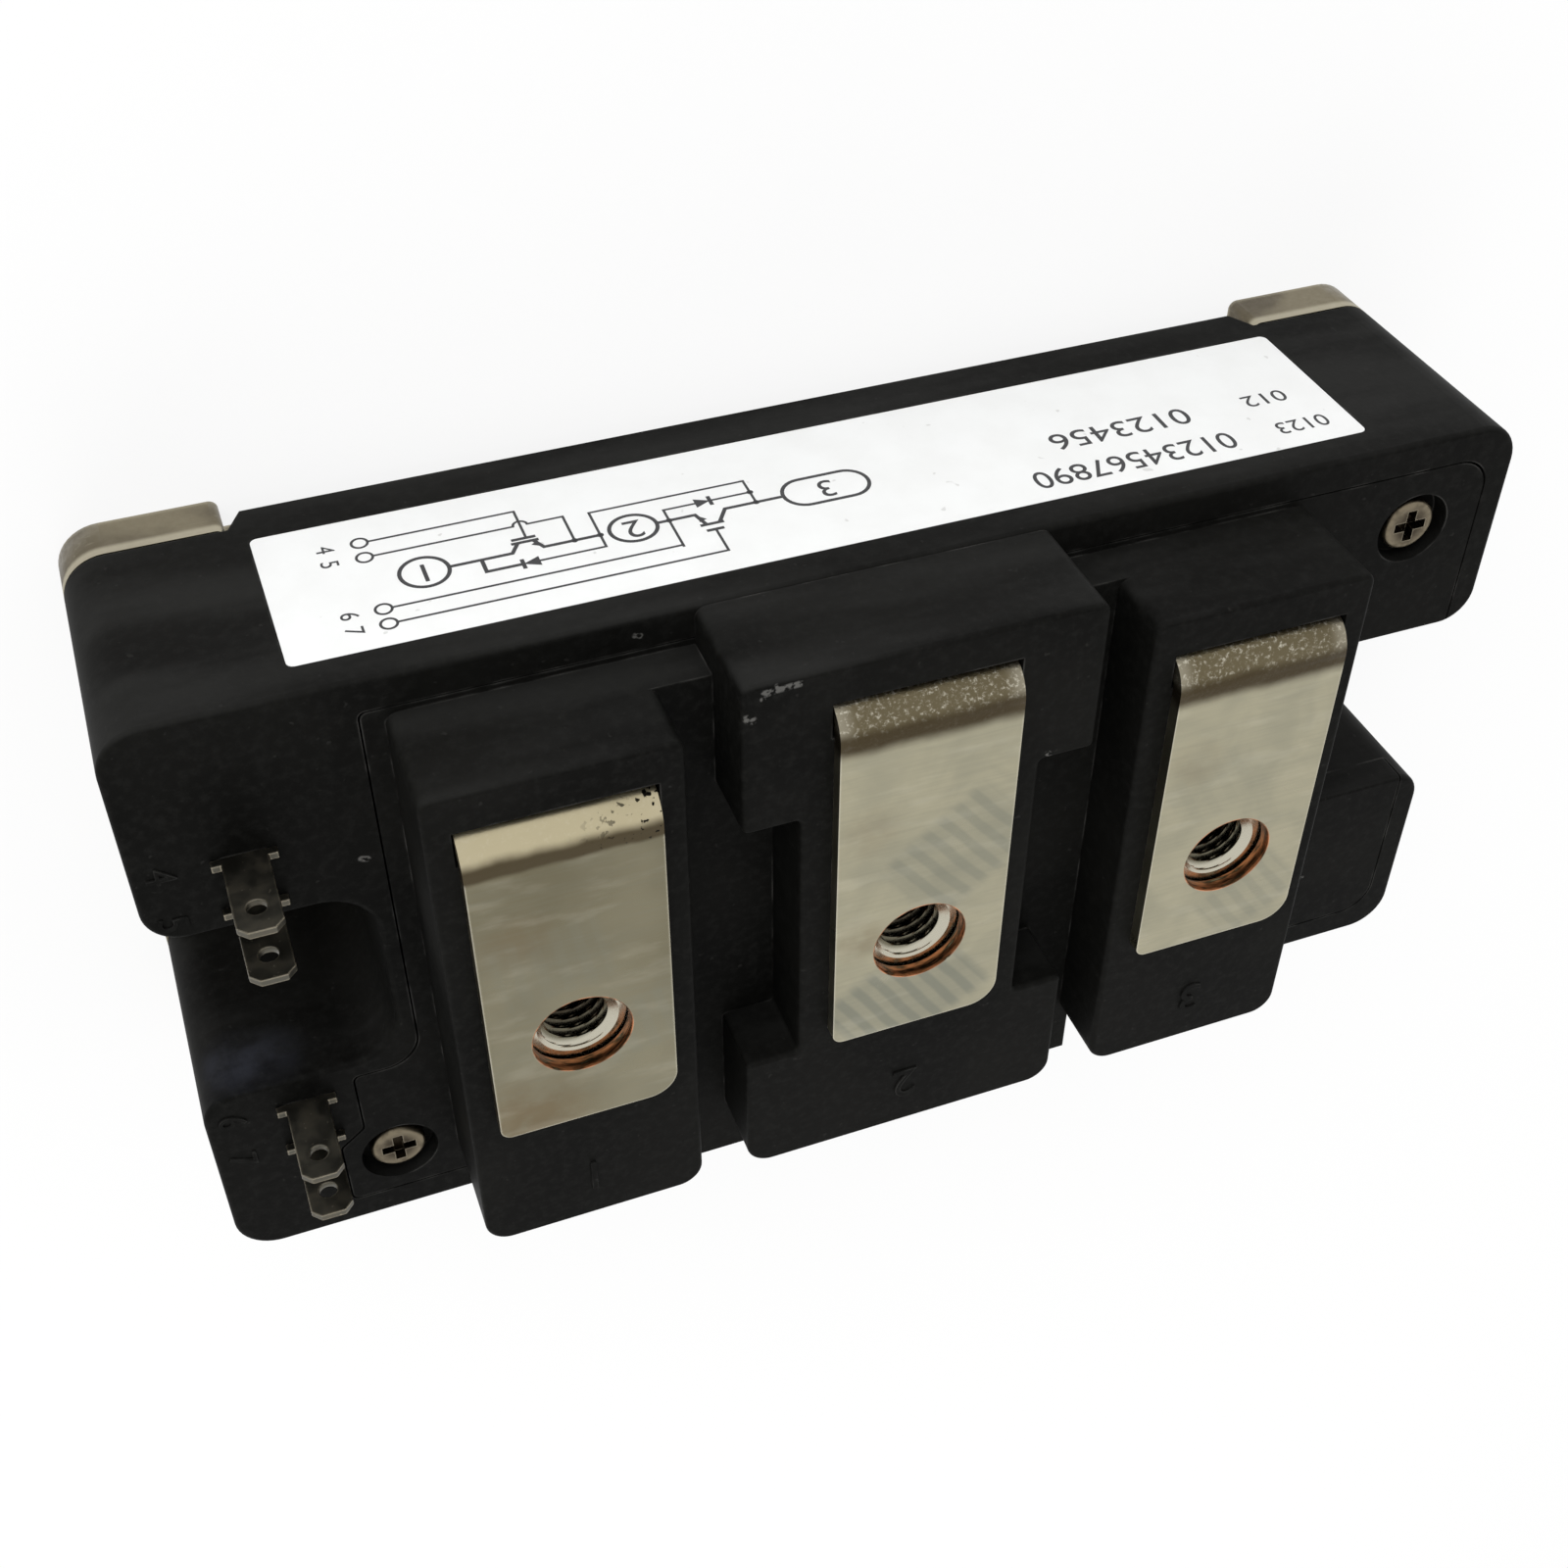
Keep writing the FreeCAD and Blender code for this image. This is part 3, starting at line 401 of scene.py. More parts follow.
def case_plastic(plastic):
    """Charcoal moulding with a fine grain, paler clouds, dust, a few scuffs and rubbed edges, with painted
    highlights on the edges, painted paler light on the long side's faces and a painted bluish reflection in
    the notch.
    """
    finish = Finish("case_plastic")
    cloud = finish.noise(16 * MM, detail=4.0, distortion=0.6)
    colour = finish.mix(finish.between(cloud, 0.35, 0.70), plastic.colour, plastic.pale_colour)
    mottle = finish.noise(0.7 * MM, detail=5.0, roughness=0.7)
    colour = finish.mix(finish.between(mottle, 0.42, 0.72, 0.0, 0.45), colour, plastic.dust_colour)
    specks = finish.between(finish.noise(0.55 * MM, detail=1.0), 0.73, 0.82, 0.0, 0.10)
    colour = finish.mix(specks, colour, plastic.wear_and_highlight_colour)

    # painted light: paler streaks on the faces that turn to -Y, where the long side catches more light, and
    # a painted bluish reflection on the notch's wall
    long_side = finish.between(finish.normal_axis("Y"), -0.3, -0.9)
    streaks = finish.noise(5 * MM, detail=4.0, point=finish.moved(stretch=(0.2, 1, 1)))
    haze = finish.product(finish.between(streaks, 0.35, 0.70), long_side, 0.55)
    colour = finish.mix(haze, colour, plastic.side_light_colour)
    # painted bluish reflection on the notch's wall
    near = finish.distance_to(plastic.notch_reflection_place, (0.7, 1, 1))
    patchy = finish.between(finish.noise(2.6 * MM, detail=5.0, roughness=0.6), 0.30, 0.66, 0.25, 1.0)
    sheen = finish.product(finish.between(near, 0.5 * MM, 3.6 * MM, 1.0, 0.0), patchy, long_side, 0.40)
    colour = finish.mix(sheen, colour, plastic.notch_reflection_colour)

    # edges, rubbed and painted bright as highlights, and scuffs
    rub = finish.between(finish.noise(2.4 * MM, detail=3.0), 0.40, 0.72)
    # painted highlight along the edges, broken into patches
    wear_and_highlight = finish.product(finish.edges(plastic.edge_width), rub, 0.60)
    broken = finish.between(finish.noise(0.30 * MM, detail=2.0), 0.42, 0.58)
    for start, end, width in plastic_scuffs():
        wear_and_highlight = finish.math("MAXIMUM", wear_and_highlight, finish.product(finish.stroke(start, end, width), broken))
    colour = finish.mix(wear_and_highlight, colour, plastic.wear_and_highlight_colour)
    roughness = finish.between(cloud, 0.30, 0.75, plastic.roughness, plastic.roughness + 0.10)
    grain = finish.noise(plastic.grain_size, detail=4.0, roughness=0.6)
    normal = finish.bump(grain, plastic.grain_depth, 0.8)
    return finish.surface(colour, roughness, normal, specular=plastic.gloss)


def plastic_scuffs():
    """Light scuffs on the mouldings' tops, as start, end and width."""
    block_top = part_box("housing_lid")[1].z
    rim_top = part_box("housing_frame")[1].z
    marks = (
        ((10.4, -23.3), (8.2, -23.4), block_top, 0.30), ((10.5, -22.9), (9.6, -23.6), block_top, 0.22),
        ((11.4, -21.7), (11.2, -21.5), block_top, 0.40), ((33.6, -10.5), (33.3, -10.4), rim_top, 0.30),
        ((-8.5, -13.0), (-8.7, -12.8), block_top, 0.26), ((15.5, -22.8), (15.2, -22.7), rim_top, 0.26),
        ((-38.0, 16.0), (-34.5, 17.0), rim_top, 0.16), ((26.0, 21.5), (21.0, 22.4), rim_top, 0.14),
    )
    scuffs = []
    for (start_x, start_y), (end_x, end_y), height, width in marks:
        start = (start_x * MM, start_y * MM, height)
        end = (end_x * MM, end_y * MM, height)
        scuffs.append((start, end, width * MM))
    return scuffs


def base_nickel(metal):
    """Dull nickel over copper: brown-grey, stained, with fine scratches both ways."""
    finish = Finish("base_nickel")
    stain = finish.noise(9 * MM, detail=5.0, distortion=0.8)
    fine = finish.noise(0.6 * MM, detail=4.0, roughness=0.7)
    scratches = finish.noise(0.25 * MM, detail=3.0, point=finish.moved(stretch=(0.03, 1.0, 1.0)))
    turned = finish.moved(turn=(0, 0, 1.1), stretch=(0.04, 1.0, 1.0))
    cross_scratches = finish.between(finish.noise(0.30 * MM, detail=3.0, point=turned), 0.66, 0.80)
    marks = finish.math("MAXIMUM", finish.between(scratches, 0.60, 0.75), cross_scratches)
    colour = finish.mix(finish.between(stain, 0.35, 0.68), metal.plate_colour, metal.plate_dark)
    colour = finish.mix(finish.product(marks, 0.30), colour, metal.strip_colour)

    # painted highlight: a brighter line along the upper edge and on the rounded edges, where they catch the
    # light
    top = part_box("base_plate")[1].z
    wear = metal.plate_highlight_width
    side_face = finish.between(finish.math("ABSOLUTE", finish.normal_axis("Z")), 0.80, 0.65)
    upper = finish.between(finish.axis("Z"), top - wear * 1.5, top - wear * 0.7)
    bright = finish.math("MAXIMUM", finish.edges(wear), finish.product(upper, side_face))
    colour = finish.mix(finish.product(bright, 0.85), colour, metal.plate_edge_highlight)
    roughness = finish.between(fine, 0.3, 0.7, 0.34, 0.50)
    normal = finish.bump(finish.math("ADD", fine, marks), 0.006 * MM, 0.7)
    return finish.surface(colour, roughness, normal, metallic=1.0)


def strip_flat(finish, settings, wear, node, cloud, lines):
    """Colour of a strip's flat part: painted shade, fine lines, rubbed bands, stains and edges painted
    bright as highlights.
    """
    metal = settings.metal
    low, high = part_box(node)
    centre = Vector(((low.x + high.x) / 2, 0, high.z))
    colour = finish.mix(finish.between(cloud, 0.32, 0.70, 0.0, 0.30), metal.strip_colour, metal.strip_grey)
    uneven = finish.between(finish.noise(7 * MM, detail=2.0), 0.3, 0.7, 0.8, 1.0)
    # painted shade, darker towards the bend's end and on a strip that reflects less light
    painted_shade = finish.between(finish.axis("Y"), low.y, high.y, 1.05, 0.80)
    colour = finish.mix(finish.product(painted_shade, uneven, wear["painted_shade"]), colour, metal.strip_shade)
    colour = finish.mix(finish.between(lines, 0.35, 0.75, 0.0, 0.16), colour, metal.strip_grey)
    for (x, y), half_size, turn, share in wear["bands"]:
        middle = centre + Vector((x, y, 0)) * MM
        banded = finish.rubbed_patch(middle, half_size * MM, math.radians(turn), settings.strip.band_pitch)
        colour = finish.mix(finish.product(banded, share), colour, metal.strip_grey)
    broken = finish.between(finish.noise(1.8 * MM, detail=4.0), 0.30, 0.62, 0.35, 1.0)
    for (x, y), radius, share in wear["stains"]:
        away = finish.distance_to(centre + Vector((x, y, 0)) * MM, (1, 1, 0))
        near = finish.between(away, radius * MM * 0.2, radius * MM, 1.0, 0.0)
        colour = finish.mix(finish.product(near, broken, share), colour, metal.strip_stain)
    smear = finish.noise(1.4 * MM, detail=4.0, point=finish.moved(turn=(0, 0, 1.05), stretch=(0.3, 1, 1)))
    colour = finish.mix(finish.between(smear, 0.50, 0.75, 0.0, 0.09), colour, metal.bright_nickel_and_glint)
    # painted highlight along the strip's edges
    return finish.mix(finish.product(finish.edges(0.22 * MM), 0.6), colour, metal.bright_nickel_and_glint)


def strip_bend(finish, metal, wear, node, in_bend, place, grain, bend_end):
    """Colour of a strip's bend, mostly painted light: a crown painted darker or brighter as a reflection,
    with painted glints or dark pits, and a band of painted shade towards the flat.
    """
    low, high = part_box(node)
    half_width = (high.x - low.x) / 2
    centre_x = (low.x + high.x) / 2
    from_middle = finish.math("ABSOLUTE", finish.math("SUBTRACT", finish.axis("X"), centre_x))
    # painted highlights at the bend's two corners
    corners = finish.between(from_middle, half_width - 1.3 * MM, half_width - 0.1 * MM, 0.0, 0.35)
    glints = finish.math("MINIMUM", finish.math("ADD", finish.between(grain, 0.50, 0.74), corners), 1.0)
    # the crown's colour is painted light: darker on a rough bend, brighter on a smooth one, with painted
    # glints
    crown, glint_share = (metal.smooth_crown_highlight, 0.10) if wear["pitted"] else (metal.strip_bend, 0.62)
    colour = finish.mix(finish.product(glints, glint_share), crown, metal.bright_nickel_and_glint)
    # painted shade: a dark band where the bend meets the flat part
    band = finish.between(place, bend_end - 1.70 * MM, bend_end - 0.90 * MM)
    colour = finish.mix(finish.product(band, 0.95), colour, metal.strip_bend_shade_and_seam)
    if wear["pitted"]:
        pit_start = centre_x - half_width * 0.9
        pit_side = finish.between(finish.axis("X"), pit_start, centre_x + half_width * 0.05, 1.0, 0.0)
        pits = finish.between(finish.noise(0.50 * MM, detail=3.0), 0.59, 0.63)
        colour = finish.mix(finish.product(pits, pit_side, in_bend), colour, metal.pit_colour)
    return colour


def bare_copper(finish, metal):
    """Colour of the sheared wall of a strip's hole: copper with dark seams and drawn-over nickel."""
    seam = finish.noise(0.35 * MM, detail=3.0, point=finish.moved(stretch=(0.3, 0.3, 1.6)))
    colour = finish.mix(finish.between(seam, 0.35, 0.65), metal.copper_colour, metal.strip_bend_shade_and_seam)
    return finish.mix(finish.between(seam, 0.62, 0.75, 0.0, 0.7), colour, metal.strip_colour)


def strip_nickel(settings, node, wear):
    """Warm nickel of one strip: a rubbed flat part, a rough or pitted bend painted with its highlights and
    shade, and copper in the hole.
    """
    metal = settings.metal
    low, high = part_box(node)
    finish = Finish(node + "_nickel")
    cloud = finish.noise(4.5 * MM, detail=4.0, distortion=0.5)
    brushed = finish.moved(turn=(0, 0, math.radians(50)), stretch=(0.05, 1, 1))
    lines = finish.noise(0.22 * MM, detail=3.0, point=brushed)
    grain = finish.noise(0.30 * MM, detail=4.0, roughness=0.7)
    colour = strip_flat(finish, settings, wear, node, cloud, lines)

    bend_end = low.y + settings.strip.bend_length
    wander = finish.between(finish.noise(2.5 * MM, detail=2.0), 0.2, 0.8, -0.12 * MM, 0.12 * MM)
    place = finish.math("ADD", finish.axis("Y"), wander)
    fade, grain_depth = (0.15 * MM, 0.012 * MM) if wear["pitted"] else (0.80 * MM, 0.05 * MM)
    in_bend = finish.between(place, bend_end - 0.30 * MM, bend_end + fade, 1.0, 0.0)
    bend_colour = strip_bend(finish, metal, wear, node, in_bend, place, grain, bend_end)
    colour = finish.mix(in_bend, colour, bend_colour)

    hole_radius = settings.strip.hole_radius
    from_axis = finish.distance_to(((low.x + high.x) / 2, 0, 0), (1, 1, 0))
    wall = finish.between(from_axis, hole_radius + 0.02 * MM, hole_radius + 0.10 * MM, 1.0, 0.0)
    colour = finish.mix(wall, colour, bare_copper(finish, metal))

    roughness = finish.between(cloud, 0.25, 0.75, 0.26, 0.38)
    roughness = finish.math("ADD", roughness, finish.product(in_bend, 0.06))
    flat_normal = finish.bump(finish.math("ADD", lines, cloud), 0.004 * MM, 0.6)
    normal = finish.bump(finish.product(grain, in_bend), grain_depth, 0.9, flat_normal)
    return finish.surface(colour, roughness, normal, metallic=1.0)


def nut_nickel(metal, thread):
    """Bright nickel of the nuts, with a painted highlight at the mouth and painted shade down in the
    thread.
    """
    finish = Finish("nut_nickel")
    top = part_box(NUTS[0])[1].z
    # painted shade: darker further down the bore
    depth = finish.between(finish.axis("Z"), top - 3.2 * MM, top - 0.2 * MM)
    turned = finish.noise(0.12 * MM, detail=3.0, point=finish.moved(stretch=(1, 1, 4)))
    colour = finish.mix(depth, metal.nut_bore_shade, metal.nut_colour)
    colour = finish.mix(finish.between(turned, 0.5, 0.8, 0.0, 0.5), colour, metal.strip_grey)
    # painted highlight on the countersink at the mouth
    mouth_start, mouth_end = top - thread.mouth_depth * 1.3, top - thread.mouth_depth * 0.8
    mouth = finish.between(finish.axis("Z"), mouth_start, mouth_end, 0.0, 0.55)
    colour = finish.mix(mouth, colour, metal.bright_nickel_and_glint)
    roughness = finish.between(turned, 0.3, 0.7, 0.16, 0.30)
    return finish.surface(colour, roughness, finish.bump(turned, 0.004 * MM, 0.6), metallic=1.0)


def tab_plating(metal):
    """Dull plating of the signal tabs with edges painted bright as highlights, whitish worn spots and small
    stains.
    """
    finish = Finish("tab_plating")
    cloud = finish.noise(1.3 * MM, detail=4.0)
    stain = finish.between(cloud, 0.40, 0.75, 0.0, 0.30)
    colour = finish.mix(stain, metal.tab_colour, metal.screw_colour)
    spots = finish.between(finish.noise(0.35 * MM, detail=2.0), 0.68, 0.74, 0.0, 0.40)
    colour = finish.mix(spots, colour, metal.tab_rub_and_edge_highlight)
    # painted highlight along the edges
    colour = finish.mix(finish.edges(0.20 * MM), colour, metal.tab_rub_and_edge_highlight)
    roughness = finish.between(cloud, 0.3, 0.7, 0.36, 0.52)
    return finish.surface(colour, roughness, finish.bump(cloud, 0.006 * MM, 0.6), metallic=1.0)


def screw_plating(metal, node):
    """Plated steel of a lid screw, stained brown round the recess, with painted shade down in the recess
    and low on the head, and painted highlights on the edges.
    """
    finish = Finish(node + "_plating")
    low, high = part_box(node)
    cloud = finish.noise(0.8 * MM, detail=4.0)
    # painted shade: darker down in the recess and lower on the head
    depth = finish.between(finish.axis("Z"), high.z - 0.75 * MM, high.z - 0.12 * MM)
    colour = finish.mix(depth, metal.screw_stain_and_shade, metal.screw_colour)
    from_axis = finish.distance_to((low + high) / 2, (1, 1, 0))
    stained = finish.between(from_axis, 0.8 * MM, 1.7 * MM, 0.8, 0.0)
    colour = finish.mix(stained, colour, metal.screw_stain_and_shade)
    colour = finish.mix(finish.between(cloud, 0.45, 0.75, 0.0, 0.5), colour, metal.screw_stain_and_shade)
    # painted highlight along the edges
    colour = finish.mix(finish.product(finish.edges(0.15 * MM), 0.7), colour, metal.tab_rub_and_edge_highlight)
    roughness = finish.between(cloud, 0.3, 0.7, 0.30, 0.46)
    return finish.surface(colour, roughness, finish.bump(cloud, 0.01 * MM, 0.6), metallic=1.0)


def label_film(label):
    """White film with a faint mottle, a few specks of dust and a soft sheen."""
    finish = Finish("label_film")
    mottle = finish.noise(3.5 * MM, detail=5.0)
    fibre = finish.noise(0.4 * MM, detail=3.0)
    specks = finish.noise(0.9 * MM, detail=1.0, point=finish.moved(shift=(3, 1, 2)))
    colour = finish.mix(finish.between(mottle, 0.3, 0.7, 0.0, 0.35), label.paper_colour, label.paper_shade)
    colour = finish.mix(finish.between(specks, 0.76, 0.80, 0.0, 0.35), colour, label.speck_colour)
    normal = finish.bump(finish.math("ADD", fibre, mottle), 0.008 * MM, 0.5)
    roughness = finish.between(fibre, 0.3, 0.7, 0.42, 0.55)
    return finish.surface(colour, roughness, normal, specular=0.3)


def print_ink(label):
    """Black ink, a little uneven where the film shows through."""
    finish = Finish("print_ink")
    uneven = finish.noise(0.3 * MM, detail=3.0)
    colour = finish.mix(finish.between(uneven, 0.55, 0.80, 0.0, 0.35), label.ink_colour, label.ink_worn)
    roughness = finish.between(uneven, 0.3, 0.7, 0.45, 0.60)
    return finish.surface(colour, roughness, finish.bump(uneven, 0.004 * MM, 0.5))


def grained(name, colour, second, size, roughness, metallic=0.0, depth=0.01 * MM):
    """Plain finish of a hidden piece: two colours that mingle at one size, over a fine grain."""
    finish = Finish(name)
    cloud = finish.noise(size, detail=4.0)
    fine = finish.noise(size / 8, detail=3.0)
    mixed = finish.mix(finish.between(cloud, 0.3, 0.7), colour, second)
    roughness = finish.between(fine, 0.3, 0.7, roughness, roughness + 0.12)
    return finish.surface(mixed, roughness, finish.bump(fine, depth, 0.6), metallic)


def dress(piece, material):
    """Give every face of a piece one material."""
    piece.data.materials.clear()
    piece.data.materials.append(material)


def round_edges(node, radius):
    """Round the edges of a carried-over node that are sharper than 35 degrees, by modifiers."""
    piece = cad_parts[node]
    weld = piece.modifiers.new("join_corners", "WELD")
    weld.merge_threshold = 0.001 * MM
    bevel = piece.modifiers.new("rounded_edges", "BEVEL")
    bevel.width = radius
    bevel.segments = 2
    bevel.limit_method = "ANGLE"
    bevel.angle_limit = math.radians(35)
    bevel.harden_normals = True
    return piece


# Mesh helpers

def add_object(name, data):
    """A new object in the scene that holds this data."""
    made = bpy.data.objects.new(name, data)
    bpy.context.scene.collection.objects.link(made)
    return made


def finished_mesh(name, work):
    """A mesh from a bmesh, which is used up."""
    mesh = bpy.data.meshes.new(name)
    work.to_mesh(mesh)
    work.free()
    return mesh


def add_piece(name, mesh, material):
    """A new piece of the module, which rides with it."""
    piece = add_object(name, mesh)
    dress(piece, material)
    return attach(piece, ROOT)


def new_piece(name, mesh_maker, material):
    """A new piece of the module from a function that fills a bmesh."""
    work = bmesh.new()
    mesh_maker(work)
    bmesh.ops.recalc_face_normals(work, faces=work.faces)
    return add_piece(name, finished_mesh(name, work), material)


def closed_grid(work, rings):
    """Join rings of points, each to the next and the last to the first, into one closed skin."""
    rows = [[work.verts.new(point) for point in ring] for ring in rings]
    for i, row in enumerate(rows):
        following = rows[(i + 1) % len(rows)]
        for j in range(len(row)):
            k = (j + 1) % len(row)
            work.faces.new((row[j], row[k], following[k], following[j]))


# Captive nuts

def thread_radius(thread, angle, height):
    """Radius of the threaded bore: a rounded 60 degree form that climbs one pitch a turn."""
    major = thread.major_diameter / 2
    minor = thread.minor_diameter / 2
    place = (height / thread.pitch - angle / (2 * math.pi)) % 1.0
    from_root = abs(place - 0.5) * 2
    flat_root = 0.16
    flat_crest = 0.22
    share = (from_root - flat_root) / (1 - flat_root - flat_crest)
    return major - (major - minor) * min(1.0, max(0.0, share))


def nut_rings(thread, node):
    """Rings round a nut's section: up the outside, in over the top, down the thread and back below."""
    low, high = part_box(node)
    centre = (low + high) / 2
    height = high.z - low.z
    flat = (high.x - low.x) / 2
    corner = flat / math.cos(math.radians(30))
    around = 96
    rows = 64
    angles = [2 * math.pi * i / around for i in range(around)]

    def hexagon(angle, limit):
        # two flats face the block's sides, so the first flat's middle lies on X
        beside = (angle + math.radians(30)) % math.radians(60) - math.radians(30)
        return min(flat / math.cos(beside), limit)

    def ring(radius_at, z):
        radii = [radius_at(a) for a in angles]
        return [centre + Vector((radius * math.cos(a), radius * math.sin(a), z - height / 2))
                for radius, a in zip(radii, angles)]

    bevelled = corner - thread.chamfer
    outside = ((bevelled, 0), (corner, thread.chamfer),
               (corner, height - thread.chamfer), (bevelled, height))
    rings = [ring(lambda a: hexagon(a, limit), z) for limit, z in outside]
    for i in range(rows + 1):
        z = height * (1 - i / rows)
        from_end = min(z, height - z)
        mouth = thread.mouth_diameter / 2 - from_end / thread.mouth_depth * (
            thread.mouth_diameter - thread.minor_diameter) / 2
        rings.append(ring(lambda a: max(thread_radius(thread, a, z), mouth), z))
    return rings


# Printed label

class InkPen:
    """Draws closed thin strokes of ink on the label's face, in millimetres along X and Z."""

    def __init__(self, work, label):
        self.work = work
        self.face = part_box("rating_label")[0].y
        self.height = label.ink_height
        self.thin = label.line_width
        self.bold = label.bold_width
        self.strokes = 0

    def corner(self, x, z, proud):
        """A corner of a stroke, on its proud face or sunk into the label."""
        # each stroke stands a hair higher than the last, so that crossings don't share a plane
        rise = self.height * (1.02 + 0.0008 * self.strokes)
        y = self.face - rise if proud else self.face + self.height
        return self.work.verts.new((x * MM, y, z * MM))

    def line(self, points, width=None, closed=False):
        """A line of even width through the points, with mitred corners."""
        half = (width or self.thin) / MM / 2
        count = len(points)
        sections = []
        for i, (x, z) in enumerate(points):
            before = points[i - 1] if i or closed else None
            after = points[(i + 1) % count] if i < count - 1 or closed else None
            directions = []
            for start, end in ((before, (x, z)), ((x, z), after)):
                if start and end:
                    directions.append((Vector(end) - Vector(start)).normalized())
            mean = sum(directions, Vector((0, 0))).normalized()
            side = Vector((-mean.y, mean.x)) * half / max(0.35, mean.dot(directions[0]))
            left, right = (x + side.x, z + side.y), (x - side.x, z - side.y)
            sections.append([self.corner(*left, True), self.corner(*right, True),
                             self.corner(*right, False), self.corner(*left, False)])
        for i in range(count if closed else count - 1):
            here, there = sections[i], sections[(i + 1) % count]
            for j in range(4):
                k = (j + 1) % 4
                self.work.faces.new((here[j], here[k], there[k], there[j]))
        if not closed:
            self.work.faces.new(sections[0])
            self.work.faces.new(sections[-1])
        self.strokes += 1

    def ring(self, x, z, radius_x, radius_z, width=None):
        """A closed oval line."""
        steps = 48
        angles = [2 * math.pi * i / steps for i in range(steps)]
        self.line([(x + radius_x * math.cos(a), z + radius_z * math.sin(a)) for a in angles], width, True)

    def stadium(self, x, z, half_length, radius, width=None):
        """A closed line with straight sides and round ends."""
        steps = 16
        points = []
        for side in (1, -1):
            for i in range(steps + 1):
                angle = side * math.pi / 2 - math.pi * i / steps
                end_x = x + side * (half_length - radius)
                points.append((end_x + radius * math.cos(angle), z + radius * math.sin(angle)))
        self.line(points, width, True)

    def patch(self, points):
        """A filled shape with straight sides."""
        front = [self.corner(x, z, True) for x, z in points]
        back = [self.corner(x, z, False) for x, z in points]
        self.work.faces.new(front)
        self.work.faces.new(list(reversed(back)))
        for i in range(len(points)):
            k = (i + 1) % len(points)
            self.work.faces.new((front[k], front[i], back[i], back[k]))
        self.strokes += 1

    def arrow(self, tip, back, half_width):
        """A filled triangle."""
        tip, back = Vector(tip), Vector(back)
        along = (back - tip).normalized()
        side = Vector((-along.y, along.x)) * half_width
        self.patch([tuple(tip), tuple(back + side), tuple(back - side)])

    def diode(self, bar_x, back_x, z):
        """A diode that lies along the label: its bar, and the filled triangle that points at it."""
        self.line([(bar_x, z - 0.5), (bar_x, z + 0.5)], self.bold)
        self.arrow((bar_x, z), (back_x, z), 0.48)


def draw_diagram(pen):
    """Generic half-bridge diagram: two switches in a row with their diodes, and seven connections.

    Places are in millimetres along X and Z, as the pen takes them.
    """
    row = 12.2
    diode_upper = 11.0
    diode_lower = 13.5

    # four signal connections at the tab end
    signal_x = 29.1
    signal_rows = (7.85, 9.45, 15.0, 16.5)
    for z in signal_rows:
        pen.ring(signal_x, z, 0.5, 0.5)
    wire_start = signal_x - 0.5

    # first switch, with its diode below the row
    pen.ring(26.0, row, 1.52, 1.52, pen.bold)
    pen.line([(24.5, row), (22.4, row), (20.5, row), (19.95, 11.3)], pen.bold)
    pen.line([(20.35, 11.27), (18.6, 11.27)], pen.bold)
    pen.line([(20.25, 10.88), (18.7, 10.88)], pen.bold)
    pen.line([(18.95, 11.3), (18.5, row), (14.9, row)], pen.bold)
    pen.arrow((18.55, 12.1), (18.95, 11.55), 0.28)
    pen.line([(wire_start, signal_rows[0]), (19.3, signal_rows[0]), (19.3, 10.88)])
    hop = [(19.3 + 0.45 * math.cos(a), signal_rows[1] - 0.45 * math.sin(a))
           for a in (math.pi * i / 10 for i in range(11))]
    pen.line([(wire_start, signal_rows[1])] + hop + [(16.55, signal_rows[1]), (16.55, row)])
    pen.line([(22.45, row), (22.45, diode_lower), (20.15, diode_lower)], pen.bold)
    pen.diode(20.15, 19.1, diode_lower)
    pen.line([(19.1, diode_lower), (14.9, diode_lower), (14.9, 9.65), (4.6, 9.65), (4.6, row)])

    # second switch, with its diode above the row
    pen.ring(12.75, row, 1.52, 1.42, pen.bold)
    pen.line([(11.2, row), (8.7, row), (8.35, 13.4)], pen.bold)
    pen.arrow((8.62, 12.35), (8.4, 12.95), 0.28)
    pen.line([(8.75, 13.45), (7.2, 13.45)], pen.bold)
    pen.line([(8.55, 14.1), (7.4, 14.1)], pen.bold)
    pen.line([(7.45, 13.4), (6.7, row), (2.75, row)], pen.bold)
    pen.line([(10.4, 15.2), (10.4, diode_upper), (8.3, diode_upper)])
    pen.diode(7.3, 8.3, diode_upper)
    pen.line([(7.3, diode_upper), (4.6, diode_upper)])
    pen.line([(10.4, 15.0), (wire_start, signal_rows[2])])
    pen.line([(wire_start, signal_rows[3]), (7.95, signal_rows[3]), (7.95, 14.1)])
    pen.stadium(-0.15, row, 2.9, 1.45, pen.bold)
    for x, z in ((14.9, row), (16.55, row), (10.4, row), (4.6, row), (4.6, diode_upper)):
        pen.ring(x, z, 0.09, 0.09, pen.bold)


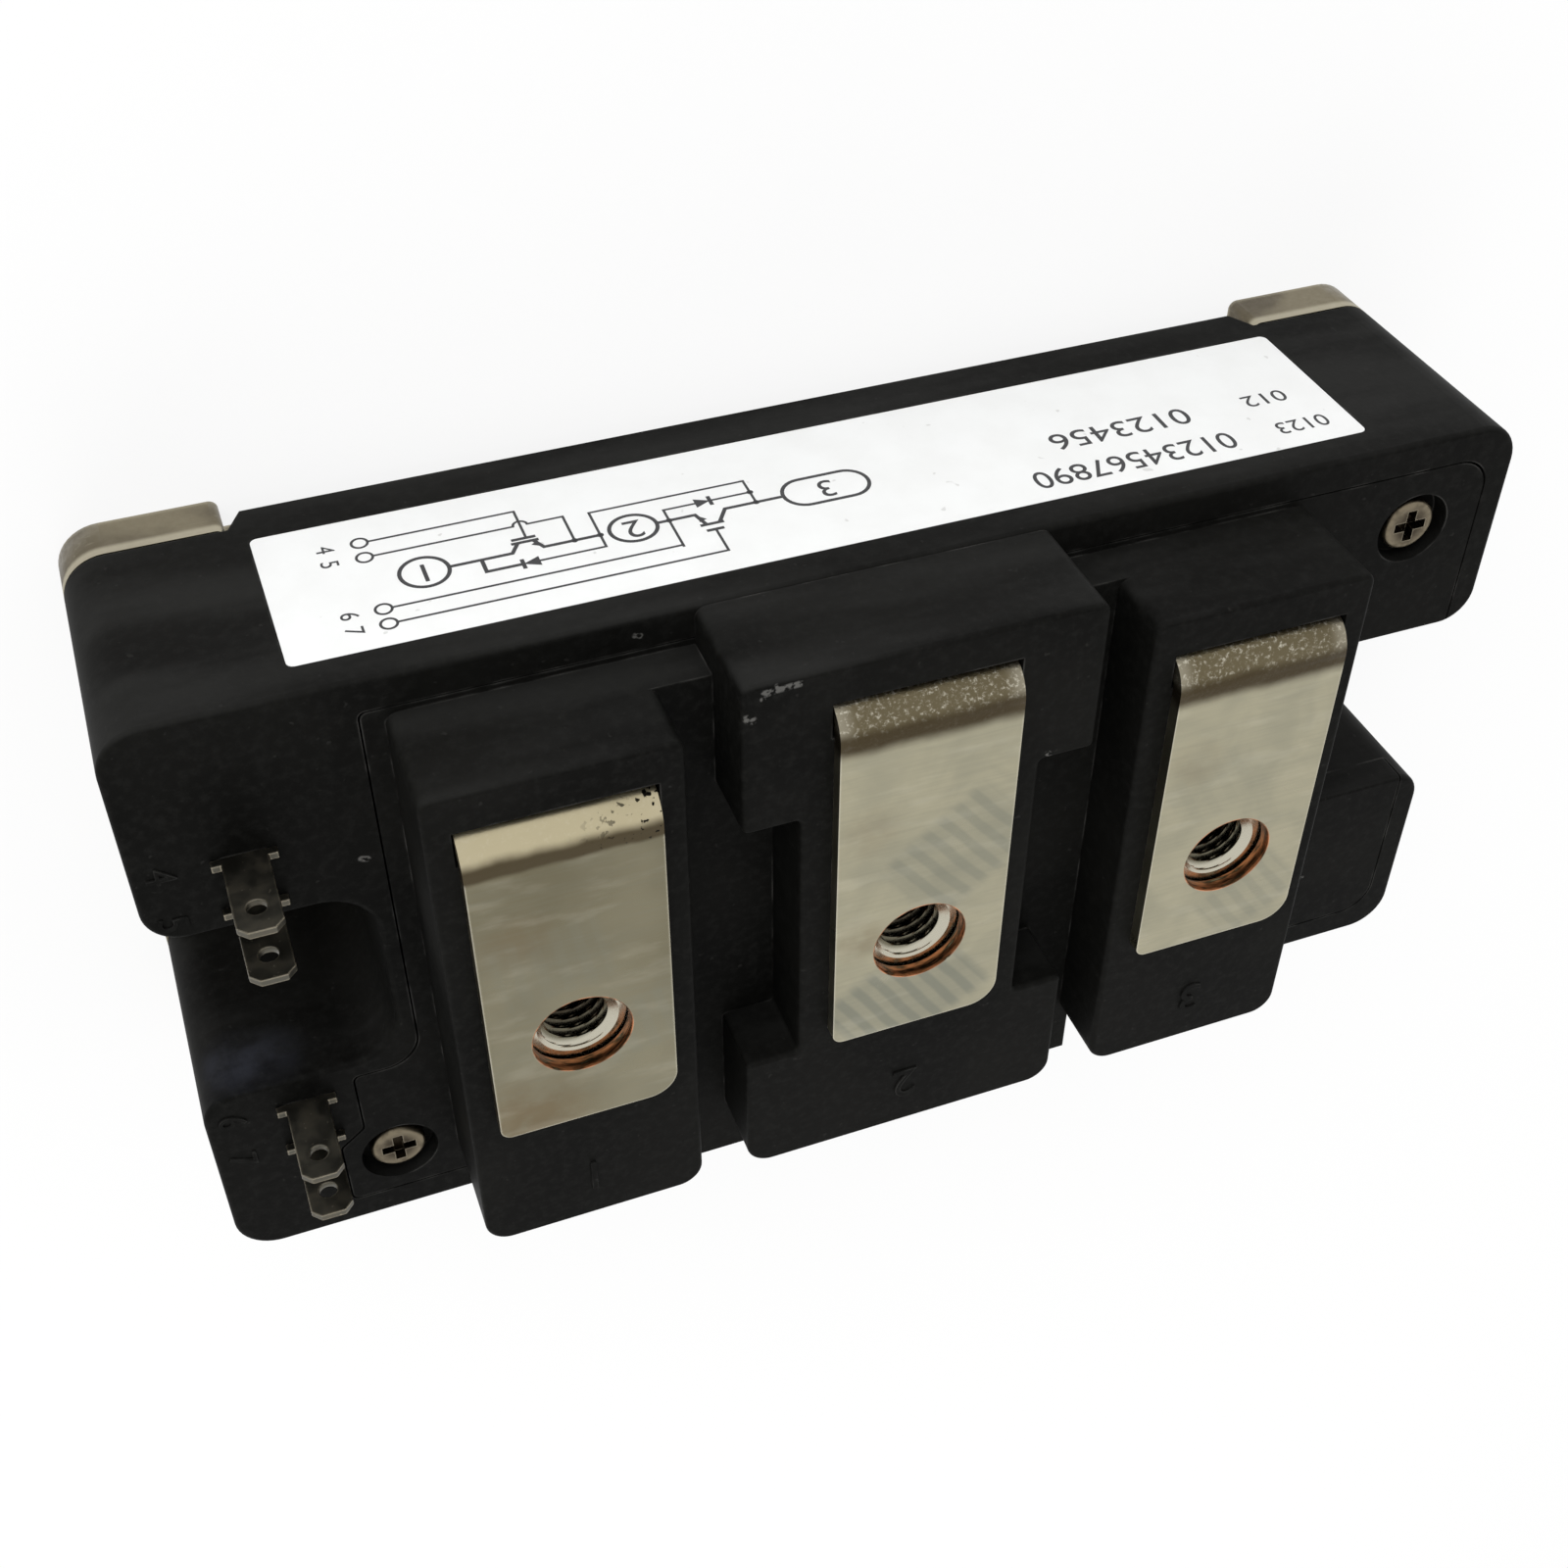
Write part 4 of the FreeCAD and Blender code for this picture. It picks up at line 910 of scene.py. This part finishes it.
def add_digits(name, text, height, place, right, up, material, rise, width=None):
    """Plain digits as thin solids, centred on a place, read along two directions, stretched to a width."""
    curve = bpy.data.curves.new(name, "FONT")
    curve.body = text
    curve.size = height * FONT_SIZE_PER_HEIGHT
    curve.align_x = "CENTER"
    curve.align_y = "CENTER"
    curve.extrude = rise
    curve.resolution_u = 6
    source = add_object(name + "_source", curve)
    bpy.context.view_layer.update()
    depsgraph = bpy.context.evaluated_depsgraph_get()
    mesh = bpy.data.meshes.new_from_object(source.evaluated_get(depsgraph))
    bpy.data.objects.remove(source)
    work = bmesh.new()
    work.from_mesh(mesh)
    bmesh.ops.remove_doubles(work, verts=work.verts, dist=0.0001 * MM)
    work.to_mesh(mesh)
    work.free()
    if width:
        span = max(v.co.x for v in mesh.vertices) - min(v.co.x for v in mesh.vertices)
        mesh.transform(Matrix.Diagonal((width / span, 1, 1, 1)))
    right, up = Vector(right), Vector(up)
    basis = Matrix((right, up, right.cross(up))).transposed()
    mesh.transform(Matrix.Translation(place) @ basis.to_4x4())
    mesh.name = name
    return add_piece(name, mesh, material)


# Operators, one for each piece or group of like pieces

class MODULE_OT_case(bpy.types.Operator):
    """Finish the moulded case frame and lid"""
    bl_idname = "module.case"
    bl_label = "Case and lid"

    def execute(self, context):
        plastic = context.scene.power_module.plastic
        material = case_plastic(plastic)
        for node in ("housing_frame", "housing_lid"):
            dress(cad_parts[node], material)
        seal = grained("seal_silicone", (0.012, 0.012, 0.012), (0.020, 0.020, 0.020), 1.5 * MM, 0.45)
        dress(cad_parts["frame_seal"], seal)
        return {"FINISHED"}


class MODULE_OT_base_plate(bpy.types.Operator):
    """Finish the nickel-plated base plate"""
    bl_idname = "module.base_plate"
    bl_label = "Base plate"

    def execute(self, context):
        metal = context.scene.power_module.metal
        dress(round_edges("base_plate", metal.plate_rounding), base_nickel(metal))
        return {"FINISHED"}


class MODULE_OT_terminal_strips(bpy.types.Operator):
    """Finish the three folded terminal strips"""
    bl_idname = "module.terminal_strips"
    bl_label = "Terminal strips"

    def execute(self, context):
        settings = context.scene.power_module
        for node, wear in zip(STRIPS, STRIP_WEAR):
            piece = round_edges(node, settings.strip.edge_radius)
            dress(piece, strip_nickel(settings, node, wear))
        return {"FINISHED"}


class MODULE_OT_terminal_nuts(bpy.types.Operator):
    """Make the captive nuts with their threads"""
    bl_idname = "module.terminal_nuts"
    bl_label = "Captive nuts"

    def execute(self, context):
        settings = context.scene.power_module
        material = nut_nickel(settings.metal, settings.thread)
        for i, node in enumerate(NUTS):
            rings = nut_rings(settings.thread, node)
            name = "threaded_nut_%d" % (i + 1)
            piece = new_piece(name, lambda work: closed_grid(work, rings), material)
            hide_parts(node)
        return {"FINISHED"}


class MODULE_OT_signal_tabs(bpy.types.Operator):
    """Finish the four signal tabs"""
    bl_idname = "module.signal_tabs"
    bl_label = "Signal tabs"

    def execute(self, context):
        metal = context.scene.power_module.metal
        material = tab_plating(metal)
        for node in TABS:
            dress(round_edges(node, metal.tab_rounding), material)
        return {"FINISHED"}


class MODULE_OT_lid_screws(bpy.types.Operator):
    """Finish the two screws that hold the lid"""
    bl_idname = "module.lid_screws"
    bl_label = "Lid screws"

    def execute(self, context):
        metal = context.scene.power_module.metal
        for node in SCREWS:
            dress(round_edges(node, metal.screw_rounding), screw_plating(metal, node))
        return {"FINISHED"}


class MODULE_OT_rating_label(bpy.types.Operator):
    """Finish the label and print its diagram and digits"""
    bl_idname = "module.rating_label"
    bl_label = "Label and print"

    def execute(self, context):
        label = context.scene.power_module.label
        dress(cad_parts["rating_label"], label_film(label))
        ink = print_ink(label)

        def draw(work):
            pen = InkPen(work, label)
            draw_diagram(pen)

        new_piece("label_print", draw, ink)
        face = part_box("rating_label")[0].y
        along, upward, backward = (1, 0, 0), (0, 0, 1), (-1, 0, 0)

        def print_digits(name, text, x, z, height, right, up, width=None):
            place = Vector((x * MM, face, z * MM))
            add_digits(name, text, height, place, right, up, ink, label.ink_height, width)

        # a counting row stands where such a label has each of its lines: text, X, Z, height and width
        rows = (("0123", -32.8, 16.2, 1.4, 3.8), ("012", -32.1, 12.5, 1.4, 3.2),
                ("01234567890", -20.3, 16.2, 1.95, 14.6), ("0123456", -21.1, 12.5, 1.95, 10.2))
        for text, x, z, height, width in rows:
            name = "label_row_%s_%d" % (text, round(z))
            print_digits(name, text, x, z, height * MM, along, upward, width * MM)
        # the ovals' digits read along the label, the smaller ones of the signal circles across it
        for text, x, z in (("1", 26.0, 12.2), ("2", 12.75, 12.2), ("3", -0.15, 12.2)):
            print_digits("label_digit_" + text, text, x, z, label.digit_height, along, upward)
        small_height = label.digit_height * 0.62
        for text, x, z in (("4", 31.3, 7.85), ("5", 31.3, 9.45), ("6", 31.2, 15.0), ("7", 31.2, 16.5)):
            print_digits("label_digit_" + text, text, x, z, small_height, upward, backward)
        return {"FINISHED"}


class MODULE_OT_raised_marks(bpy.types.Operator):
    """Add the raised digits beside the terminals and tabs"""
    bl_idname = "module.raised_marks"
    bl_label = "Raised digits"

    def execute(self, context):
        settings = context.scene.power_module
        mark = settings.mark
        material = case_plastic(settings.plastic)
        block_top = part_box("housing_lid")[1].z
        rim_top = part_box("housing_frame")[1].z
        for i, node in enumerate(STRIPS):
            low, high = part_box(node)
            place = Vector(((low.x + high.x) / 2, mark.block_place, block_top))
            add_digits("block_digit_%d" % (i + 1), str(i + 1), mark.block_digit_height, place,
                      (1, 0, 0), (0, 1, 0), material, mark.rise)
        for i, node in enumerate(TABS):
            low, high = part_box(node)
            place = Vector((high.x + mark.arm_place, (low.y + high.y) / 2, rim_top))
            add_digits("arm_digit_%d" % (i + 1), str(i + 4), mark.arm_digit_height, place,
                      (0, 1, 0), (-1, 0, 0), material, mark.rise)
        return {"FINISHED"}


class MODULE_OT_power_circuit(bpy.types.Operator):
    """Finish the hidden pieces of the power circuit"""
    bl_idname = "module.power_circuit"
    bl_label = "Power circuit"

    def execute(self, context):
        copper = grained("bare_copper", (0.62, 0.26, 0.13), (0.52, 0.20, 0.10), 2 * MM, 0.32, 1.0)
        solder = grained("dull_solder", (0.50, 0.50, 0.50), (0.38, 0.38, 0.39), 1 * MM, 0.40, 1.0)
        ceramic = grained("white_ceramic", (0.82, 0.82, 0.80), (0.74, 0.74, 0.72), 1.5 * MM, 0.50)
        silicon = grained("chip_silicon", (0.20, 0.21, 0.24), (0.13, 0.14, 0.17), 3 * MM, 0.12, 0.6)
        wire = grained("bond_wire", (0.80, 0.80, 0.80), (0.68, 0.68, 0.69), 0.4 * MM, 0.28, 1.0)
        lead = grained("tinned_lead", (0.66, 0.66, 0.66), (0.52, 0.52, 0.53), 0.6 * MM, 0.30, 1.0)
        gel = grained("clear_gel", (0.55, 0.58, 0.55), (0.48, 0.51, 0.49), 6 * MM, 0.10)
        finishes = {"substrate_solder": solder, "chip_solder": solder, "back_copper": copper,
                    "collector_track": copper, "emitter_track": copper, "gate_track": copper,
                    "sense_track": copper, "substrate_ceramic": ceramic, "transistor_chip": silicon,
                    "diode_chip": silicon, "emitter_wires": wire, "gate_wires": wire,
                    "signal_lead": lead, "silicone_gel": gel}
        for node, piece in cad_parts.items():
            family = node.rstrip("0123456789").rstrip("_")
            if family in finishes:
                dress(piece, finishes[family])
        return {"FINISHED"}


def soft_lamp(name, place, target, size, power):
    """A large square lamp that faces a target."""
    data = bpy.data.lights.new(name, "AREA")
    data.shape = "SQUARE"
    data.size = size
    data.energy = power
    lamp = add_object(name, data)
    lamp.location = place
    lamp.visible_glossy = False
    lamp.rotation_euler = (Vector(target) - Vector(place)).to_track_quat("-Z", "Y").to_euler()


def floor_paint(stage):
    """Pale floor that camera and mirror rays see as white, and that keeps the shadow."""
    finish = Finish("floor_paint")
    mottle = finish.noise(0.4, detail=3.0)
    dust = tuple(part * 0.97 for part in stage.floor_colour)
    colour = finish.mix(mottle, stage.floor_colour, dust)
    matt = finish.add("ShaderNodeBsdfDiffuse", None, {"Color": colour, "Roughness": 0.4})
    glow = finish.add("ShaderNodeEmission", None, {"Color": opaque(WHITE), "Strength": 1.0})
    share = finish.product(finish.white_rays(), stage.floor_glow)
    both = finish.add("ShaderNodeMixShader", None, {0: share, 1: matt.outputs[0], 2: glow.outputs[0]})
    finish.add("ShaderNodeOutputMaterial", None, {"Surface": both.outputs[0]})
    return finish.material


def white_world(stage):
    """Even light for the module, seen as plain white by camera and mirror rays."""
    world = bpy.data.worlds.new("studio_world")
    nodes = Nodes(world)
    even = {"Color": opaque(WHITE), "Strength": stage.world_strength}
    light = nodes.add("ShaderNodeBackground", None, even)
    shown = nodes.add("ShaderNodeBackground", None, {"Color": opaque(WHITE), "Strength": 1.0})
    inputs = {0: nodes.white_rays(), 1: light.outputs[0], 2: shown.outputs[0]}
    both = nodes.add("ShaderNodeMixShader", None, inputs)
    nodes.add("ShaderNodeOutputWorld", None, {"Surface": both.outputs[0]})
    return world


class MODULE_OT_stage(bpy.types.Operator):
    """Set up the floor, the light and the camera"""
    bl_idname = "module.stage"
    bl_label = "Stage"

    def execute(self, context):
        stage = context.scene.power_module.stage
        work = bmesh.new()
        bmesh.ops.create_circle(work, cap_ends=True, segments=96, radius=stage.floor_radius)
        floor = add_object("floor", finished_mesh("floor", work))
        dress(floor, floor_paint(stage))
        context.scene.world = white_world(stage)
        middle = (0, 0, 15 * MM)
        soft_lamp("key_lamp", stage.key_place, middle, stage.key_size, stage.key_power)
        soft_lamp("fill_lamp", stage.fill_place, middle, stage.fill_size, stage.fill_power)

        camera_data = bpy.data.cameras.new("camera")
        camera_data.sensor_width = 36.0
        camera_data.lens = stage.lens
        camera_data.clip_start = 0.005
        camera_data.clip_end = 20.0
        camera = add_object("camera", camera_data)
        back = Vector((math.sin(stage.azimuth) * math.cos(stage.elevation),
                       -math.cos(stage.azimuth) * math.cos(stage.elevation), math.sin(stage.elevation)))
        aim = (-back).to_track_quat("-Z", "Y").to_matrix()
        turned = aim @ Matrix.Rotation(stage.roll, 3, "Z")
        camera.matrix_world = Matrix.Translation(stage.camera_place) @ turned.to_4x4()
        context.scene.camera = camera
        context.scene.view_settings.view_transform = "Standard"
        return {"FINISHED"}


OPERATORS = (MODULE_OT_case, MODULE_OT_base_plate, MODULE_OT_terminal_strips, MODULE_OT_terminal_nuts,
             MODULE_OT_signal_tabs, MODULE_OT_lid_screws, MODULE_OT_rating_label, MODULE_OT_raised_marks,
             MODULE_OT_power_circuit, MODULE_OT_stage)


class MODULE_PT_panel(bpy.types.Panel):
    """Lists the module's operators and values"""
    bl_idname = "MODULE_PT_panel"
    bl_label = "Power module"
    bl_space_type = "VIEW_3D"
    bl_region_type = "UI"
    bl_category = "Power module"

    def draw(self, context):
        for operator in OPERATORS:
            self.layout.operator(operator.bl_idname)
        for group in ("plastic", "metal", "strip", "thread", "label", "mark", "stage"):
            column = self.layout.column(heading=group.capitalize())
            settings = getattr(context.scene.power_module, group)
            for name in settings.__annotations__:
                column.prop(settings, name)


CLASSES = (PlasticSettings, MetalSettings, StripSettings, ThreadSettings, LabelSettings, MarkSettings,
           StageSettings, ModuleSettings) + OPERATORS + (MODULE_PT_panel,)


def register():
    """Register the classes and give every scene the module's values."""
    for item in CLASSES:
        bpy.utils.register_class(item)
    bpy.types.Scene.power_module = bpy.props.PointerProperty(type=ModuleSettings)


def unregister():
    """Take the values and the classes away again."""
    del bpy.types.Scene.power_module
    for item in reversed(CLASSES):
        bpy.utils.unregister_class(item)


def main():
    """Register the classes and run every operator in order."""
    register()
    for operator in OPERATORS:
        family, name = operator.bl_idname.split(".")
        result = getattr(getattr(bpy.ops, family), name)()
        if result != {"FINISHED"}:
            raise RuntimeError(operator.bl_label + " did not finish")


if __name__ == "__main__":
    main()
